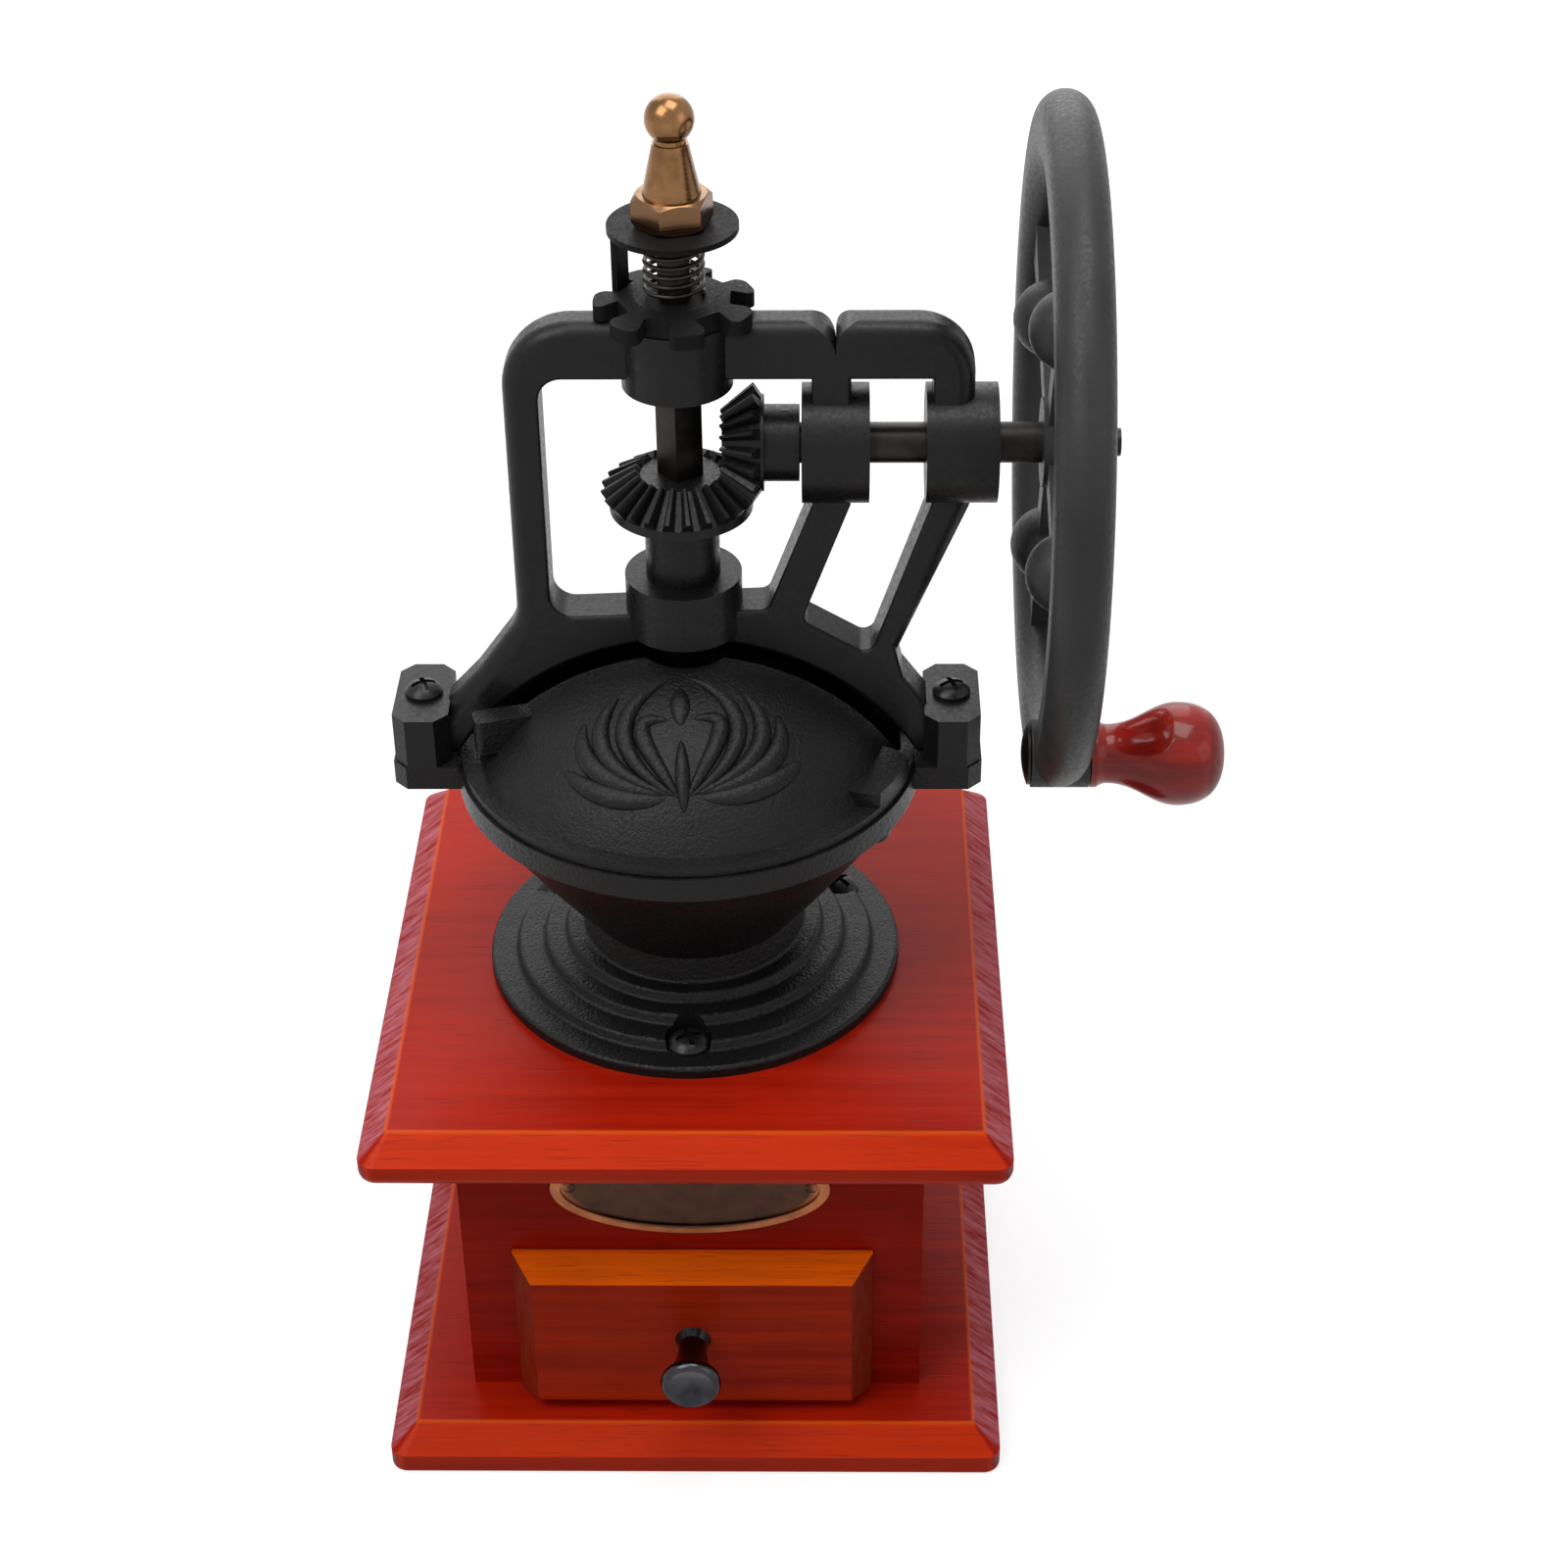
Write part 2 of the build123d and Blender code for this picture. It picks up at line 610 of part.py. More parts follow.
with BuildPart() as drawer_knob:
    knob_face = DRAWER_FRONT_Y - KNOB_LENGTH
    disc_back = knob_face + KNOB_DISC_THICK
    foot_end = DRAWER_FRONT_Y - KNOB_FOOT_LENGTH
    with BuildSketch(Plane.XY.offset(KNOB_Z)):
        with BuildLine():
            Polyline((0, DRAWER_FRONT_Y), (KNOB_FOOT_R, DRAWER_FRONT_Y), (KNOB_STEM_R, foot_end))
            ThreePointArc((KNOB_STEM_R, foot_end), (KNOB_STEM_R + 0.5, (foot_end + disc_back) / 2),
                          (KNOB_DISC_R - 1.4, disc_back))
            ThreePointArc((KNOB_DISC_R - 1.4, disc_back), (KNOB_DISC_R, disc_back - KNOB_DISC_THICK / 2),
                          (KNOB_DISC_R - 0.8, knob_face))
            Line((KNOB_DISC_R - 0.8, knob_face), (KNOB_DISH_R, knob_face))
            ThreePointArc((KNOB_DISH_R, knob_face),
                          cap_middle(KNOB_DISH_R, knob_face, knob_face + KNOB_DISH),
                          (0, knob_face + KNOB_DISH))
            Line((0, knob_face + KNOB_DISH), (0, DRAWER_FRONT_Y))
        make_face()
    revolve(axis=KNOB_AXIS)
    with BuildSketch(Plane.XZ.offset(-DRAWER_FRONT_Y)):
        with Locations((0, KNOB_Z)):
            Circle(KNOB_SCREW_R + FIXED_FIT)
    extrude(amount=KNOB_SCREW_GRIP, mode=Mode.SUBTRACT)
drawer_knob.part.label = "drawer_knob"

knob_screw_blank = pan_head_screw(2 * KNOB_SCREW_R, 1.2 * KNOB_SCREW_R, KNOB_SCREW_R,
                                  DRAWER_FRONT_THICK + KNOB_SCREW_GRIP)
with BuildPart() as knob_screw:
    with Locations(Plane((0, drawer_front_back_y, KNOB_Z), x_dir=(1, 0, 0), z_dir=(0, 1, 0))):
        add(knob_screw_blank)
knob_screw.part.label = "knob_screw"

# Badge
with BuildPart() as badge_plate:
    with BuildSketch(Plane.XZ.offset(-FRONT_Y)):
        with Locations((0, BADGE_Z)):
            Ellipse(BADGE_HALF_WIDTH, BADGE_HALF_HEIGHT)
        with Locations((-badge_pin_x, BADGE_Z), (badge_pin_x, BADGE_Z)):
            Circle(BADGE_PIN_R + FIXED_FIT, mode=Mode.SUBTRACT)
    extrude(amount=BADGE_THICK)
    with BuildSketch(Plane.XZ.offset(-FRONT_Y + BADGE_THICK)):
        with Locations((0, BADGE_Z)):
            Ellipse(BADGE_HALF_WIDTH, BADGE_HALF_HEIGHT)
            Ellipse(BADGE_HALF_WIDTH - BADGE_RIM, BADGE_HALF_HEIGHT - BADGE_RIM, mode=Mode.SUBTRACT)
    extrude(amount=BADGE_RIM_RISE)
badge_plate.part.label = "badge_plate"

badge_pin = pan_head_screw(BADGE_PIN_HEAD_R, BADGE_PIN_HEAD, BADGE_PIN_R, BADGE_PIN_LENGTH)
with BuildPart() as badge_pins:
    with Locations(Plane((0, FRONT_Y - BADGE_THICK, BADGE_Z), x_dir=(1, 0, 0), z_dir=(0, -1, 0))):
        with Locations((-badge_pin_x, 0), (badge_pin_x, 0)):
            add(badge_pin)
badge_pins.part.label = "badge_pins"

# Mill body
bowl_foot_z = TOP_Z + NECK_TOP
bowl_top_z = RIM_Z - BOWL_BAND
bowl_top_r = BOWL_R - BOWL_BAND_STEP
bowl_middle_r = (NECK_R + bowl_top_r) / 2 + BOWL_BULGE
bowl_middle_z = (bowl_foot_z + bowl_top_z) / 2 - BOWL_BULGE
ring_top_z = TOP_Z + RING_HEIGHT
throat_z = ring_top_z + FACE_GAP
hopper_r = BOWL_R - BOWL_WALL

with BuildPart() as mill_body:
    steps = [(FLANGE_R, TOP_Z), (FLANGE_R, TOP_Z + FLANGE_EDGE)]
    for index, radius in enumerate(STEP_RADII):
        foot = TOP_Z + FLANGE_EDGE + STEP_RISE * index
        steps += [(radius + STEP_DRAFT, foot), (radius, foot + STEP_RISE)]
    steps += [(NECK_R + STEP_DRAFT, TOP_Z + FLANGE_EDGE + STEP_RISE * len(STEP_RADII)), (NECK_R, bowl_foot_z)]
    with BuildSketch(Plane.XZ) as profile:
        with BuildLine():
            Polyline(*steps)
            ThreePointArc((NECK_R, bowl_foot_z), (bowl_middle_r, bowl_middle_z), (bowl_top_r, bowl_top_z))
            Polyline((bowl_top_r, bowl_top_z), (BOWL_R, bowl_top_z), (BOWL_R, RIM_Z), (hopper_r, RIM_Z),
                     (hopper_r, bowl_top_z))
            ThreePointArc((hopper_r, bowl_top_z), (bowl_middle_r - BOWL_WALL, bowl_middle_z + BOWL_WALL / 2),
                          (RING_MOUTH_R, throat_z))
            Polyline((RING_MOUTH_R, throat_z), (RING_R + FIXED_FIT, throat_z),
                     (RING_R + FIXED_FIT, TOP_Z), (FLANGE_R, TOP_Z))
        make_face()
        flange_top = TOP_Z + FLANGE_EDGE + STEP_RISE * len(STEP_RADII)
        step_corners = profile.vertices().filter_by(
            lambda c: c.X > NECK_R + STEP_DRAFT / 2 and TOP_Z + 1 < c.Y < flange_top + 0.1)
        fillet(step_corners, STEP_ROUND)
    revolve(axis=Axis.Z)
    with BuildSketch(Plane.XY.offset(EAR_Z - EAR_THICK)) as ears:
        ear_inner = BOWL_R - BOWL_WALL / 2
        for side in (-1, 1):
            with Locations((side * (ear_inner + EAR_REACH) / 2, 0)):
                Rectangle(EAR_REACH - ear_inner, 2 * EAR_HALF_DEPTH)
        outer_corners = ears.vertices().filter_by(lambda corner: abs(corner.X) > ear_inner + 1)
        chamfer(outer_corners, EAR_CHAMFER)
    extrude(amount=EAR_THICK)
    with BuildSketch(Plane.XY.offset(RIM_Z)):
        Circle(BOWL_R + FACE_GAP)
    extrude(amount=EAR_RISE, mode=Mode.SUBTRACT)
    with BuildSketch(Plane.XY.offset(RIM_Z)):
        with Locations((PIVOT_X, PIVOT_Y)):
            Circle(PIVOT_POST_R)
    extrude(amount=-PIVOT_POST_DEPTH)
    with Locations((PIVOT_X, PIVOT_Y, RIM_Z)):
        Hole(PIVOT_PIN_R + FIXED_FIT, depth=PIVOT_PIN_SINK)
    with Locations((-LUG_SCREW_X, 0, EAR_Z), (LUG_SCREW_X, 0, EAR_Z)):
        Hole(PAN_SHANK_R + FIXED_FIT, depth=EAR_THICK)
    with Locations((0, 0, TOP_Z + FLANGE_EDGE)):
        with PolarLocations(FLANGE_SCREW_CIRCLE, FLANGE_SCREWS, start_angle=-90):
            Cylinder(FLANGE_SCREW_SPOT, 2 * STEP_RISE, align=(Align.CENTER, Align.CENTER, Align.MIN),
                     mode=Mode.SUBTRACT)
            Hole(PAN_SHANK_R + FIXED_FIT, depth=FLANGE_EDGE)
mill_body.part.label = "mill_body"

flange_screw = pan_head_screw(FLANGE_HEAD_R, PAN_HEAD, PAN_SHANK_R, FLANGE_EDGE + FLANGE_SCREW_GRIP, True)
with BuildPart() as flange_screws:
    with Locations((0, 0, TOP_Z + FLANGE_EDGE)):
        with PolarLocations(FLANGE_SCREW_CIRCLE, FLANGE_SCREWS, start_angle=-90):
            add(flange_screw)
flange_screws.part.label = "flange_screws"

# Burrs
cone_slope = (CONE_R - CONE_TOP_R) / CONE_HEIGHT
ring_bottom_r = CONE_R + GRIND_GAP + cone_slope * CONE_LIFT
ring_waist_r = max(RING_WAIST_R, CONE_R - cone_slope * (RING_WAIST - CONE_LIFT) + GRIND_GAP)

with BuildPart() as flute_cutter:
    Box(FLUTE_WIDTH, FLUTE_WIDTH, 3 * CONE_HEIGHT, rotation=(0, 0, 45))

with BuildPart() as ring_burr:
    with BuildSketch(Plane.XZ):
        Polygon([(ring_bottom_r, TOP_Z), (RING_R, TOP_Z), (RING_R, ring_top_z), (RING_MOUTH_R, ring_top_z),
                 (ring_waist_r, TOP_Z + RING_WAIST)], align=None)
    revolve(axis=Axis.Z)
    with Locations((0, 0, TOP_Z)):
        with PolarLocations(ring_bottom_r, RING_FLUTES):
            with Locations(Location((0, 0, 0), (FLUTE_SKEW, -math.degrees(math.atan(cone_slope)), 0))):
                add(flute_cutter.part, mode=Mode.SUBTRACT)
ring_burr.part.label = "ring_burr"

with BuildPart() as cone_burr:
    with BuildSketch(Plane.XZ):
        Polygon([(SPINDLE_R + FIXED_FIT, CONE_Z), (CONE_R, CONE_Z), (CONE_TOP_R, CONE_Z + CONE_HEIGHT),
                 (SPINDLE_R + FIXED_FIT, CONE_Z + CONE_HEIGHT)], align=None)
    revolve(axis=Axis.Z)
    with Locations((0, 0, CONE_Z)):
        with PolarLocations(CONE_R, CONE_FLUTES):
            with Locations(Location((0, 0, 0), (-FLUTE_SKEW, -math.degrees(math.atan(cone_slope)), 0))):
                add(flute_cutter.part, mode=Mode.SUBTRACT)
cone_burr.part.label = "cone_burr"

burr_nut_blank = hex_nut(BURR_NUT_FLATS, BURR_NUT_THICK, SPINDLE_R + FIXED_FIT)
with BuildPart() as burr_nut:
    with Locations((0, 0, CONE_Z - BURR_NUT_THICK)):
        add(burr_nut_blank)
burr_nut.part.label = "burr_nut"

# Covers
lid_bottom_z = RIM_Z + LID_GAP
lid_blank = half_dome(lid_bottom_z, lid_bottom_z + LID_EDGE_THICK, front=True)
thumb_angle = math.radians(THUMB_ANGLE)
thumb_foot_z = DOME_Z + math.sqrt(DOME_R**2 - THUMB_RADIUS**2) - DOME_WALL

with BuildPart() as front_lid:
    add(lid_blank)
    with BuildSketch(Plane.XY.offset(lid_bottom_z)):
        with Locations((PIVOT_X, PIVOT_Y)):
            Circle(PIVOT_BOSS_R)
        with BuildSketch(mode=Mode.INTERSECT):
            Circle(LID_EDGE_R)
    extrude(amount=PIVOT_BOSS_TOP)
    with BuildSketch(Plane.XY.offset(lid_bottom_z)):
        with Locations((PIVOT_X, PIVOT_Y)):
            Circle(PIVOT_PIN_R + RUNNING_FIT)
    extrude(amount=PIVOT_PIN_RISE + LID_GAP, mode=Mode.SUBTRACT)
    with BuildSketch(Plane.XY.offset(thumb_foot_z)) as thumb:
        thumb_place = (THUMB_RADIUS * math.cos(thumb_angle), THUMB_RADIUS * math.sin(thumb_angle))
        with Locations(Location((*thumb_place, 0), THUMB_ANGLE - 180)):
            RectangleRounded(THUMB_LENGTH, THUMB_WIDTH, THUMB_ROUND)
    extrude(amount=THUMB_RISE + DOME_WALL)
front_lid.part.label = "front_lid"

with BuildPart() as lid_pin:
    with BuildSketch(Plane.XY.offset(RIM_Z - PIVOT_PIN_SINK)):
        with Locations((PIVOT_X, PIVOT_Y)):
            Circle(PIVOT_PIN_R)
    extrude(amount=PIVOT_PIN_SINK + PIVOT_PIN_RISE)
lid_pin.part.label = "lid_pin"

cover_blank = half_dome(RIM_Z, RIM_Z + LID_GAP + LID_EDGE_THICK, front=False)
with BuildPart() as rear_cover:
    add(cover_blank)
    with BuildSketch(Plane.XY.offset(RIM_Z)):
        with BuildLine():
            lip_r = hopper_r - FACE_GAP
            CenterArc((0, 0), lip_r, 15, 150)
            CenterArc((0, 0), lip_r - COVER_LIP_WALL, 15, 150)
            Line((lip_r * math.cos(math.radians(15)), lip_r * math.sin(math.radians(15))),
                 ((lip_r - COVER_LIP_WALL) * math.cos(math.radians(15)),
                  (lip_r - COVER_LIP_WALL) * math.sin(math.radians(15))))
            Line((lip_r * math.cos(math.radians(165)), lip_r * math.sin(math.radians(165))),
                 ((lip_r - COVER_LIP_WALL) * math.cos(math.radians(165)),
                  (lip_r - COVER_LIP_WALL) * math.sin(math.radians(165))))
        make_face()
    extrude(amount=-COVER_LIP)
rear_cover.part.label = "rear_cover"

# Bridge
arch_r = DOME_R + ARCH_GAP
arch_centre = DOME_Z - EAR_Z
arch_foot_x = math.sqrt(arch_r**2 - arch_centre**2)
lug_middle_x = (LUG_INNER_X + LUG_OUTER_X) / 2
lug_web_x = LUG_INNER_X + 1.0
half_bridge = BRIDGE_THICK / 2
bridge_plane = Plane((0, 0, EAR_Z), x_dir=(1, 0, 0), z_dir=(0, -1, 0))

with BuildPart() as bridge:
    with BuildSketch(bridge_plane) as outline:
        with BuildLine():
            Polyline((-arch_foot_x, 0), (-lug_web_x, 0), (-lug_web_x, LUG_THICK - 0.6),
                     (-SHOULDER_X, SHOULDER_RISE), (-POST_X, WAIST_RISE), (-POST_X, BAR_TOP),
                     (BAR_END_X, BAR_TOP), (BAR_END_X, LEG_TOP),
                     (OUTER_LEG_FOOT_X + LEG_FOOT_WIDTH, LEG_FOOT), (SHOULDER_X + 1.5, SHOULDER_RISE),
                     (lug_web_x, LUG_THICK - 0.6), (lug_web_x, 0), (arch_foot_x, 0))
            ThreePointArc((arch_foot_x, 0), (0, arch_centre + arch_r), (-arch_foot_x, 0))
        make_face()
        for corner_x, corner_rise, corner_round in (
                (-POST_X, BAR_TOP, BAR_LEFT_ROUND), (BAR_END_X, BAR_TOP, BAR_RIGHT_ROUND),
                (-POST_X, WAIST_RISE, WAIST_ROUND), (-SHOULDER_X, SHOULDER_RISE, SHOULDER_ROUND),
                (BAR_END_X, LEG_TOP, KNEE_ROUND)):
            fillet(outline.vertices().sort_by_distance((corner_x, corner_rise, 0))[0], corner_round)
    extrude(amount=half_bridge, both=True)
    outer_edges = bridge.faces().filter_by(Axis.Y).edges().filter_by(
        lambda edge: edge.center().Z > EAR_Z + WAIST_RISE + 4)
    fillet(outer_edges.filter_by(lambda edge: edge.geom_type == GeomType.LINE or edge.radius < arch_r / 2),
           BRIDGE_ROUND)
    window_right = INNER_LEG_TOP_X
    inner_leg_back_x = INNER_LEG_FOOT_X + LEG_WIDTH - 0.8
    with BuildSketch(bridge_plane) as windows:
        Polygon([(-POST_X + POST_WIDTH, BAR_BOTTOM), (window_right, BAR_BOTTOM), (window_right, LEG_TOP),
                 (INNER_LEG_FOOT_X, WINDOW_FLOOR + 2), (-POST_X + POST_WIDTH, WINDOW_FLOOR)], align=None)
        Polygon([(window_right + LEG_WIDTH, BAR_BOTTOM), (OUTER_LEG_TOP_X, BAR_BOTTOM),
                 (OUTER_LEG_TOP_X, LEG_TOP), (OUTER_LEG_FOOT_X, LEG_FOOT), (inner_leg_back_x, WINDOW_FLOOR - 0.8),
                 (window_right + LEG_WIDTH, LEG_TOP)], align=None)
        left_corners = windows.vertices().filter_by(lambda c: c.X < 0)
        fillet(left_corners, WINDOW_ROUND)
        foot_corners = windows.vertices().filter_by(lambda c: 0 < c.X and c.Y < WINDOW_FLOOR + 3)
        fillet(foot_corners, WINDOW_ROUND / 2)
    extrude(amount=half_bridge, both=True, mode=Mode.SUBTRACT)
    side_edges = bridge.edges().filter_by(lambda edge: abs(abs(edge.center().Y) - half_bridge) < 0.01)
    fillet(side_edges, WINDOW_EDGE_ROUND)
    with BuildSketch(bridge_plane):
        with BuildLine():
            Line((SADDLE_X - SADDLE_LEFT_R, BAR_TOP + 1), (SADDLE_X + SADDLE_RIGHT_R, BAR_TOP + 1))
            Line((SADDLE_X + SADDLE_RIGHT_R, BAR_TOP + 1), (SADDLE_X + SADDLE_RIGHT_R, BAR_TOP))
            CenterArc((SADDLE_X + SADDLE_RIGHT_R, BAR_TOP - SADDLE_RIGHT_R), SADDLE_RIGHT_R, 90, 90)
            Line((SADDLE_X, BAR_TOP - SADDLE_RIGHT_R), (SADDLE_X, BAR_TOP - SADDLE_LEFT_R))
            CenterArc((SADDLE_X - SADDLE_LEFT_R, BAR_TOP - SADDLE_LEFT_R), SADDLE_LEFT_R, 0, 90)
            Line((SADDLE_X - SADDLE_LEFT_R, BAR_TOP), (SADDLE_X - SADDLE_LEFT_R, BAR_TOP + 1))
        make_face()
    extrude(amount=half_bridge, both=True, mode=Mode.SUBTRACT)
    with BuildSketch(Plane.XY.offset(EAR_Z)) as lugs:
        for side in (-1, 1):
            with Locations((side * lug_middle_x, 0)):
                Rectangle(LUG_OUTER_X - LUG_INNER_X, 2 * EAR_HALF_DEPTH)
        chamfer(lugs.vertices(), EAR_CHAMFER)
    extrude(amount=LUG_THICK)
    with BuildSketch(Plane.XY.offset(BOSS_BOTTOM_Z)):
        Circle(TOP_BOSS_R)
    extrude(amount=BOSS_TOP_Z - BOSS_BOTTOM_Z)
    with BuildSketch(Plane.XY.offset(EAR_Z + LOW_BOSS_BOTTOM)):
        Circle(LOW_BOSS_R)
    extrude(amount=LOW_BOSS_TOP - LOW_BOSS_BOTTOM)
    for boss_start, boss_end in (INNER_BOSS_X, OUTER_BOSS_X):
        with BuildSketch(Plane.YZ.offset(boss_start)):
            with Locations((0, SHAFT_Z)):
                Circle(SHAFT_BOSS_R)
        extrude(amount=boss_end - boss_start)
    with BuildSketch(Plane.XY.offset(BOSS_BOTTOM_Z)):
        Circle(SPINDLE_R + RUNNING_FIT)
    extrude(amount=BOSS_TOP_Z - BOSS_BOTTOM_Z, mode=Mode.SUBTRACT)
    with BuildSketch(Plane.XY.offset(EAR_Z + LOW_BOSS_TOP)):
        Circle(SLEEVE_R + RUNNING_FIT)
    extrude(amount=-LOW_BOSS_TOP, mode=Mode.SUBTRACT)
    with BuildSketch(Plane.YZ.offset(INNER_BOSS_X[0])):
        with Locations((0, SHAFT_Z)):
            Circle(SHAFT_R + RUNNING_FIT)
    extrude(amount=OUTER_BOSS_X[1] - INNER_BOSS_X[0], mode=Mode.SUBTRACT)
    with Locations((-LUG_SCREW_X, 0, EAR_Z + LUG_THICK), (LUG_SCREW_X, 0, EAR_Z + LUG_THICK)):
        Hole(PAN_SHANK_R + FIXED_FIT, depth=LUG_THICK)
bridge.part.label = "bridge"

lug_screw = pan_head_screw(LUG_HEAD_R, PAN_HEAD, PAN_SHANK_R, LUG_THICK + EAR_THICK, True)
with BuildPart() as lug_screws:
    with Locations((-LUG_SCREW_X, 0, EAR_Z + LUG_THICK), (LUG_SCREW_X, 0, EAR_Z + LUG_THICK)):
        add(lug_screw)
lug_screws.part.label = "lug_screws"

# Gear pair: a gap of the gear and a tooth of the pinion face each other at rest
gear_blank = bevel_teeth(GEAR_TEETH, PINION_TEETH, GEAR_BACK, 180 / GEAR_TEETH)
pinion_blank = bevel_teeth(PINION_TEETH, GEAR_TEETH, PINION_BACK, 180)
sleeve_bottom_z = EAR_Z + LOW_BOSS_BOTTOM
sleeve_top_z = SHAFT_Z - MODULE * PINION_TEETH / 2 - MODULE
spindle_turn = math.degrees(math.pi / 4) - 6

with BuildPart() as bevel_gear:
    with Locations((0, 0, SHAFT_Z)):
        add(gear_blank)
    with BuildSketch(Plane.XY.offset(sleeve_bottom_z)):
        Circle(SLEEVE_R)
    extrude(amount=sleeve_top_z - sleeve_bottom_z)
    with BuildSketch(Plane.XY.offset(sleeve_bottom_z)):
        Rectangle(SPINDLE_SQUARE + 2 * RUNNING_FIT, SPINDLE_SQUARE + 2 * RUNNING_FIT, rotation=spindle_turn)
    extrude(amount=SHAFT_Z - sleeve_bottom_z, mode=Mode.SUBTRACT)
bevel_gear.part.label = "bevel_gear"

pinion_back_x = MODULE * GEAR_TEETH / 2
pinion_pin_x = (pinion_back_x + PINION_HUB_END) / 2 + 1.5

with BuildPart() as bevel_pinion:
    with Locations(Location((0, 0, SHAFT_Z), (0, -90, 0))):
        add(pinion_blank)
    with BuildSketch(Plane.YZ.offset(pinion_back_x)):
        with Locations((0, SHAFT_Z)):
            Circle(PINION_HUB_R)
    extrude(amount=PINION_HUB_END - pinion_back_x)
    with BuildSketch(Plane.YZ):
        with Locations((0, SHAFT_Z)):
            Circle(SHAFT_R + FIXED_FIT)
    extrude(amount=PINION_HUB_END, mode=Mode.SUBTRACT)
    with Locations((pinion_pin_x, 0, SHAFT_Z)):
        Cylinder(PINION_PIN_R + FIXED_FIT, 2 * PINION_HUB_R + 1, mode=Mode.SUBTRACT)
bevel_pinion.part.label = "bevel_pinion"

with BuildPart() as pinion_pin:
    with Locations((pinion_pin_x, 0, SHAFT_Z)):
        Cylinder(PINION_PIN_R, 2 * PINION_HUB_R)
pinion_pin.part.label = "pinion_pin"

# Spindle and the stack on top of it
spindle_bottom_z = CONE_Z - BURR_NUT_THICK - 1.5
square_top_z = BOSS_BOTTOM_Z - SQUARE_GAP
square_bottom_z = CONE_Z + CONE_HEIGHT
spindle_top_z = FINIAL_Z + FINIAL_GRIP - 0.5

with BuildPart() as spindle:
    with BuildSketch(Plane.XY.offset(spindle_bottom_z)):
        Circle(SPINDLE_R)
    extrude(amount=spindle_top_z - spindle_bottom_z)
    with BuildSketch(Plane.XY.offset(square_bottom_z)):
        Rectangle(SPINDLE_SQUARE, SPINDLE_SQUARE, rotation=spindle_turn)
    extrude(amount=square_top_z - square_bottom_z)
spindle.part.label = "spindle"

with BuildPart() as adjusting_dial:
    with BuildSketch(Plane.XZ):
        Polygon([(0, DIAL_Z), (DIAL_R, DIAL_Z), (DIAL_R, DIAL_Z + DIAL_EDGE_THICK), (DIAL_HUB_R, DIAL_TOP_Z),
                 (0, DIAL_TOP_Z)], align=None)
    revolve(axis=Axis.Z)
    with BuildSketch(Plane.XY.offset(DIAL_Z)) as star:
        Circle(DIAL_R)
        notch_length = DIAL_R + 1 - DIAL_NOTCH_FLOOR
        with PolarLocations(DIAL_NOTCH_FLOOR + notch_length / 2, DIAL_NOTCHES, start_angle=TAB_ANGLE):
            Rectangle(notch_length, DIAL_NOTCH_WIDTH, mode=Mode.SUBTRACT)
        fillet(star.vertices().filter_by(lambda c: math.hypot(c.X, c.Y) > DIAL_R - 1), DIAL_LOBE_ROUND)
        Circle(SPINDLE_R + RUNNING_FIT, mode=Mode.SUBTRACT)
    extrude(amount=DIAL_THICK, mode=Mode.INTERSECT)
adjusting_dial.part.label = "adjusting_dial"

coil_r = SPRING_R - SPRING_WIRE / 2
coil_start_z = DIAL_TOP_Z + SPRING_SEAT + SPRING_WIRE / 2
coil_rise = SPRING_LENGTH - 2 * SPRING_SEAT - SPRING_WIRE
quarters = round(4 * SPRING_TURNS)
quarter_rise = coil_rise / quarters

with BuildPart() as adjuster_spring:
    with BuildLine():
        first_point, first_tangent = helix_node(0, coil_r, quarter_rise, coil_start_z)
        wire_start = first_point - first_tangent * SPRING_WIRE
        Line(wire_start, first_point)
        for quarter in range(quarters):
            p0, t0 = helix_node(quarter, coil_r, quarter_rise, coil_start_z)
            p1, t1 = helix_node(quarter + 1, coil_r, quarter_rise, coil_start_z)
            chord = p1 - p0
            a = 2 * (1 - t0.dot(t1))
            b = 2 * chord.dot(t0 + t1)
            reach = (-b + math.sqrt(b * b + 4 * a * chord.dot(chord))) / (2 * a)
            c0 = p0 + t0 * reach
            c1 = p1 - t1 * reach
            joint = (c0 + c1) * 0.5
            TangentArc(p0, joint, tangent=t0)
            TangentArc(joint, p1, tangent=c1 - c0)
        Line(p1, p1 + t1 * SPRING_WIRE)
    with BuildSketch(Plane(origin=wire_start, z_dir=first_tangent)):
        Circle(SPRING_WIRE / 2)
    sweep()
adjuster_spring.part.label = "adjuster_spring"

samples = [helix_node(i / 10, coil_r, quarter_rise, coil_start_z)[0] for i in range(10 * quarters + 1)]
spring_gap = min((samples[i] - samples[j]).length for i in range(len(samples))
                 for j in range(i + 20, len(samples))) - SPRING_WIRE
print("least gap between spring turns", round(spring_gap, 3))

with BuildPart() as lock_plate:
    with BuildSketch(Plane.XY.offset(LOCK_PLATE_Z)):
        Circle(LOCK_PLATE_R)
        Circle(SPINDLE_R + FIXED_FIT, mode=Mode.SUBTRACT)
    extrude(amount=LOCK_PLATE_THICK)
    with BuildSketch(Plane.XY.offset(LOCK_PLATE_Z)):
        with PolarLocations(LOCK_PLATE_R - LOCK_PLATE_THICK, 1, start_angle=TAB_ANGLE):
            Rectangle(LOCK_PLATE_THICK, TAB_WIDTH, align=(Align.MIN, Align.CENTER))
    extrude(amount=-(SPRING_LENGTH + TAB_DEPTH))
lock_plate.part.label = "lock_plate"

cone_foot_z = FINIAL_Z + FINIAL_HEX
cone_top_z = cone_foot_z + FINIAL_CONE
ball_z = cone_top_z + FINIAL_NECK + FINIAL_BALL_R - 1.2
ball_foot_r = math.sqrt(FINIAL_BALL_R**2 - (ball_z - cone_top_z - FINIAL_NECK)**2)

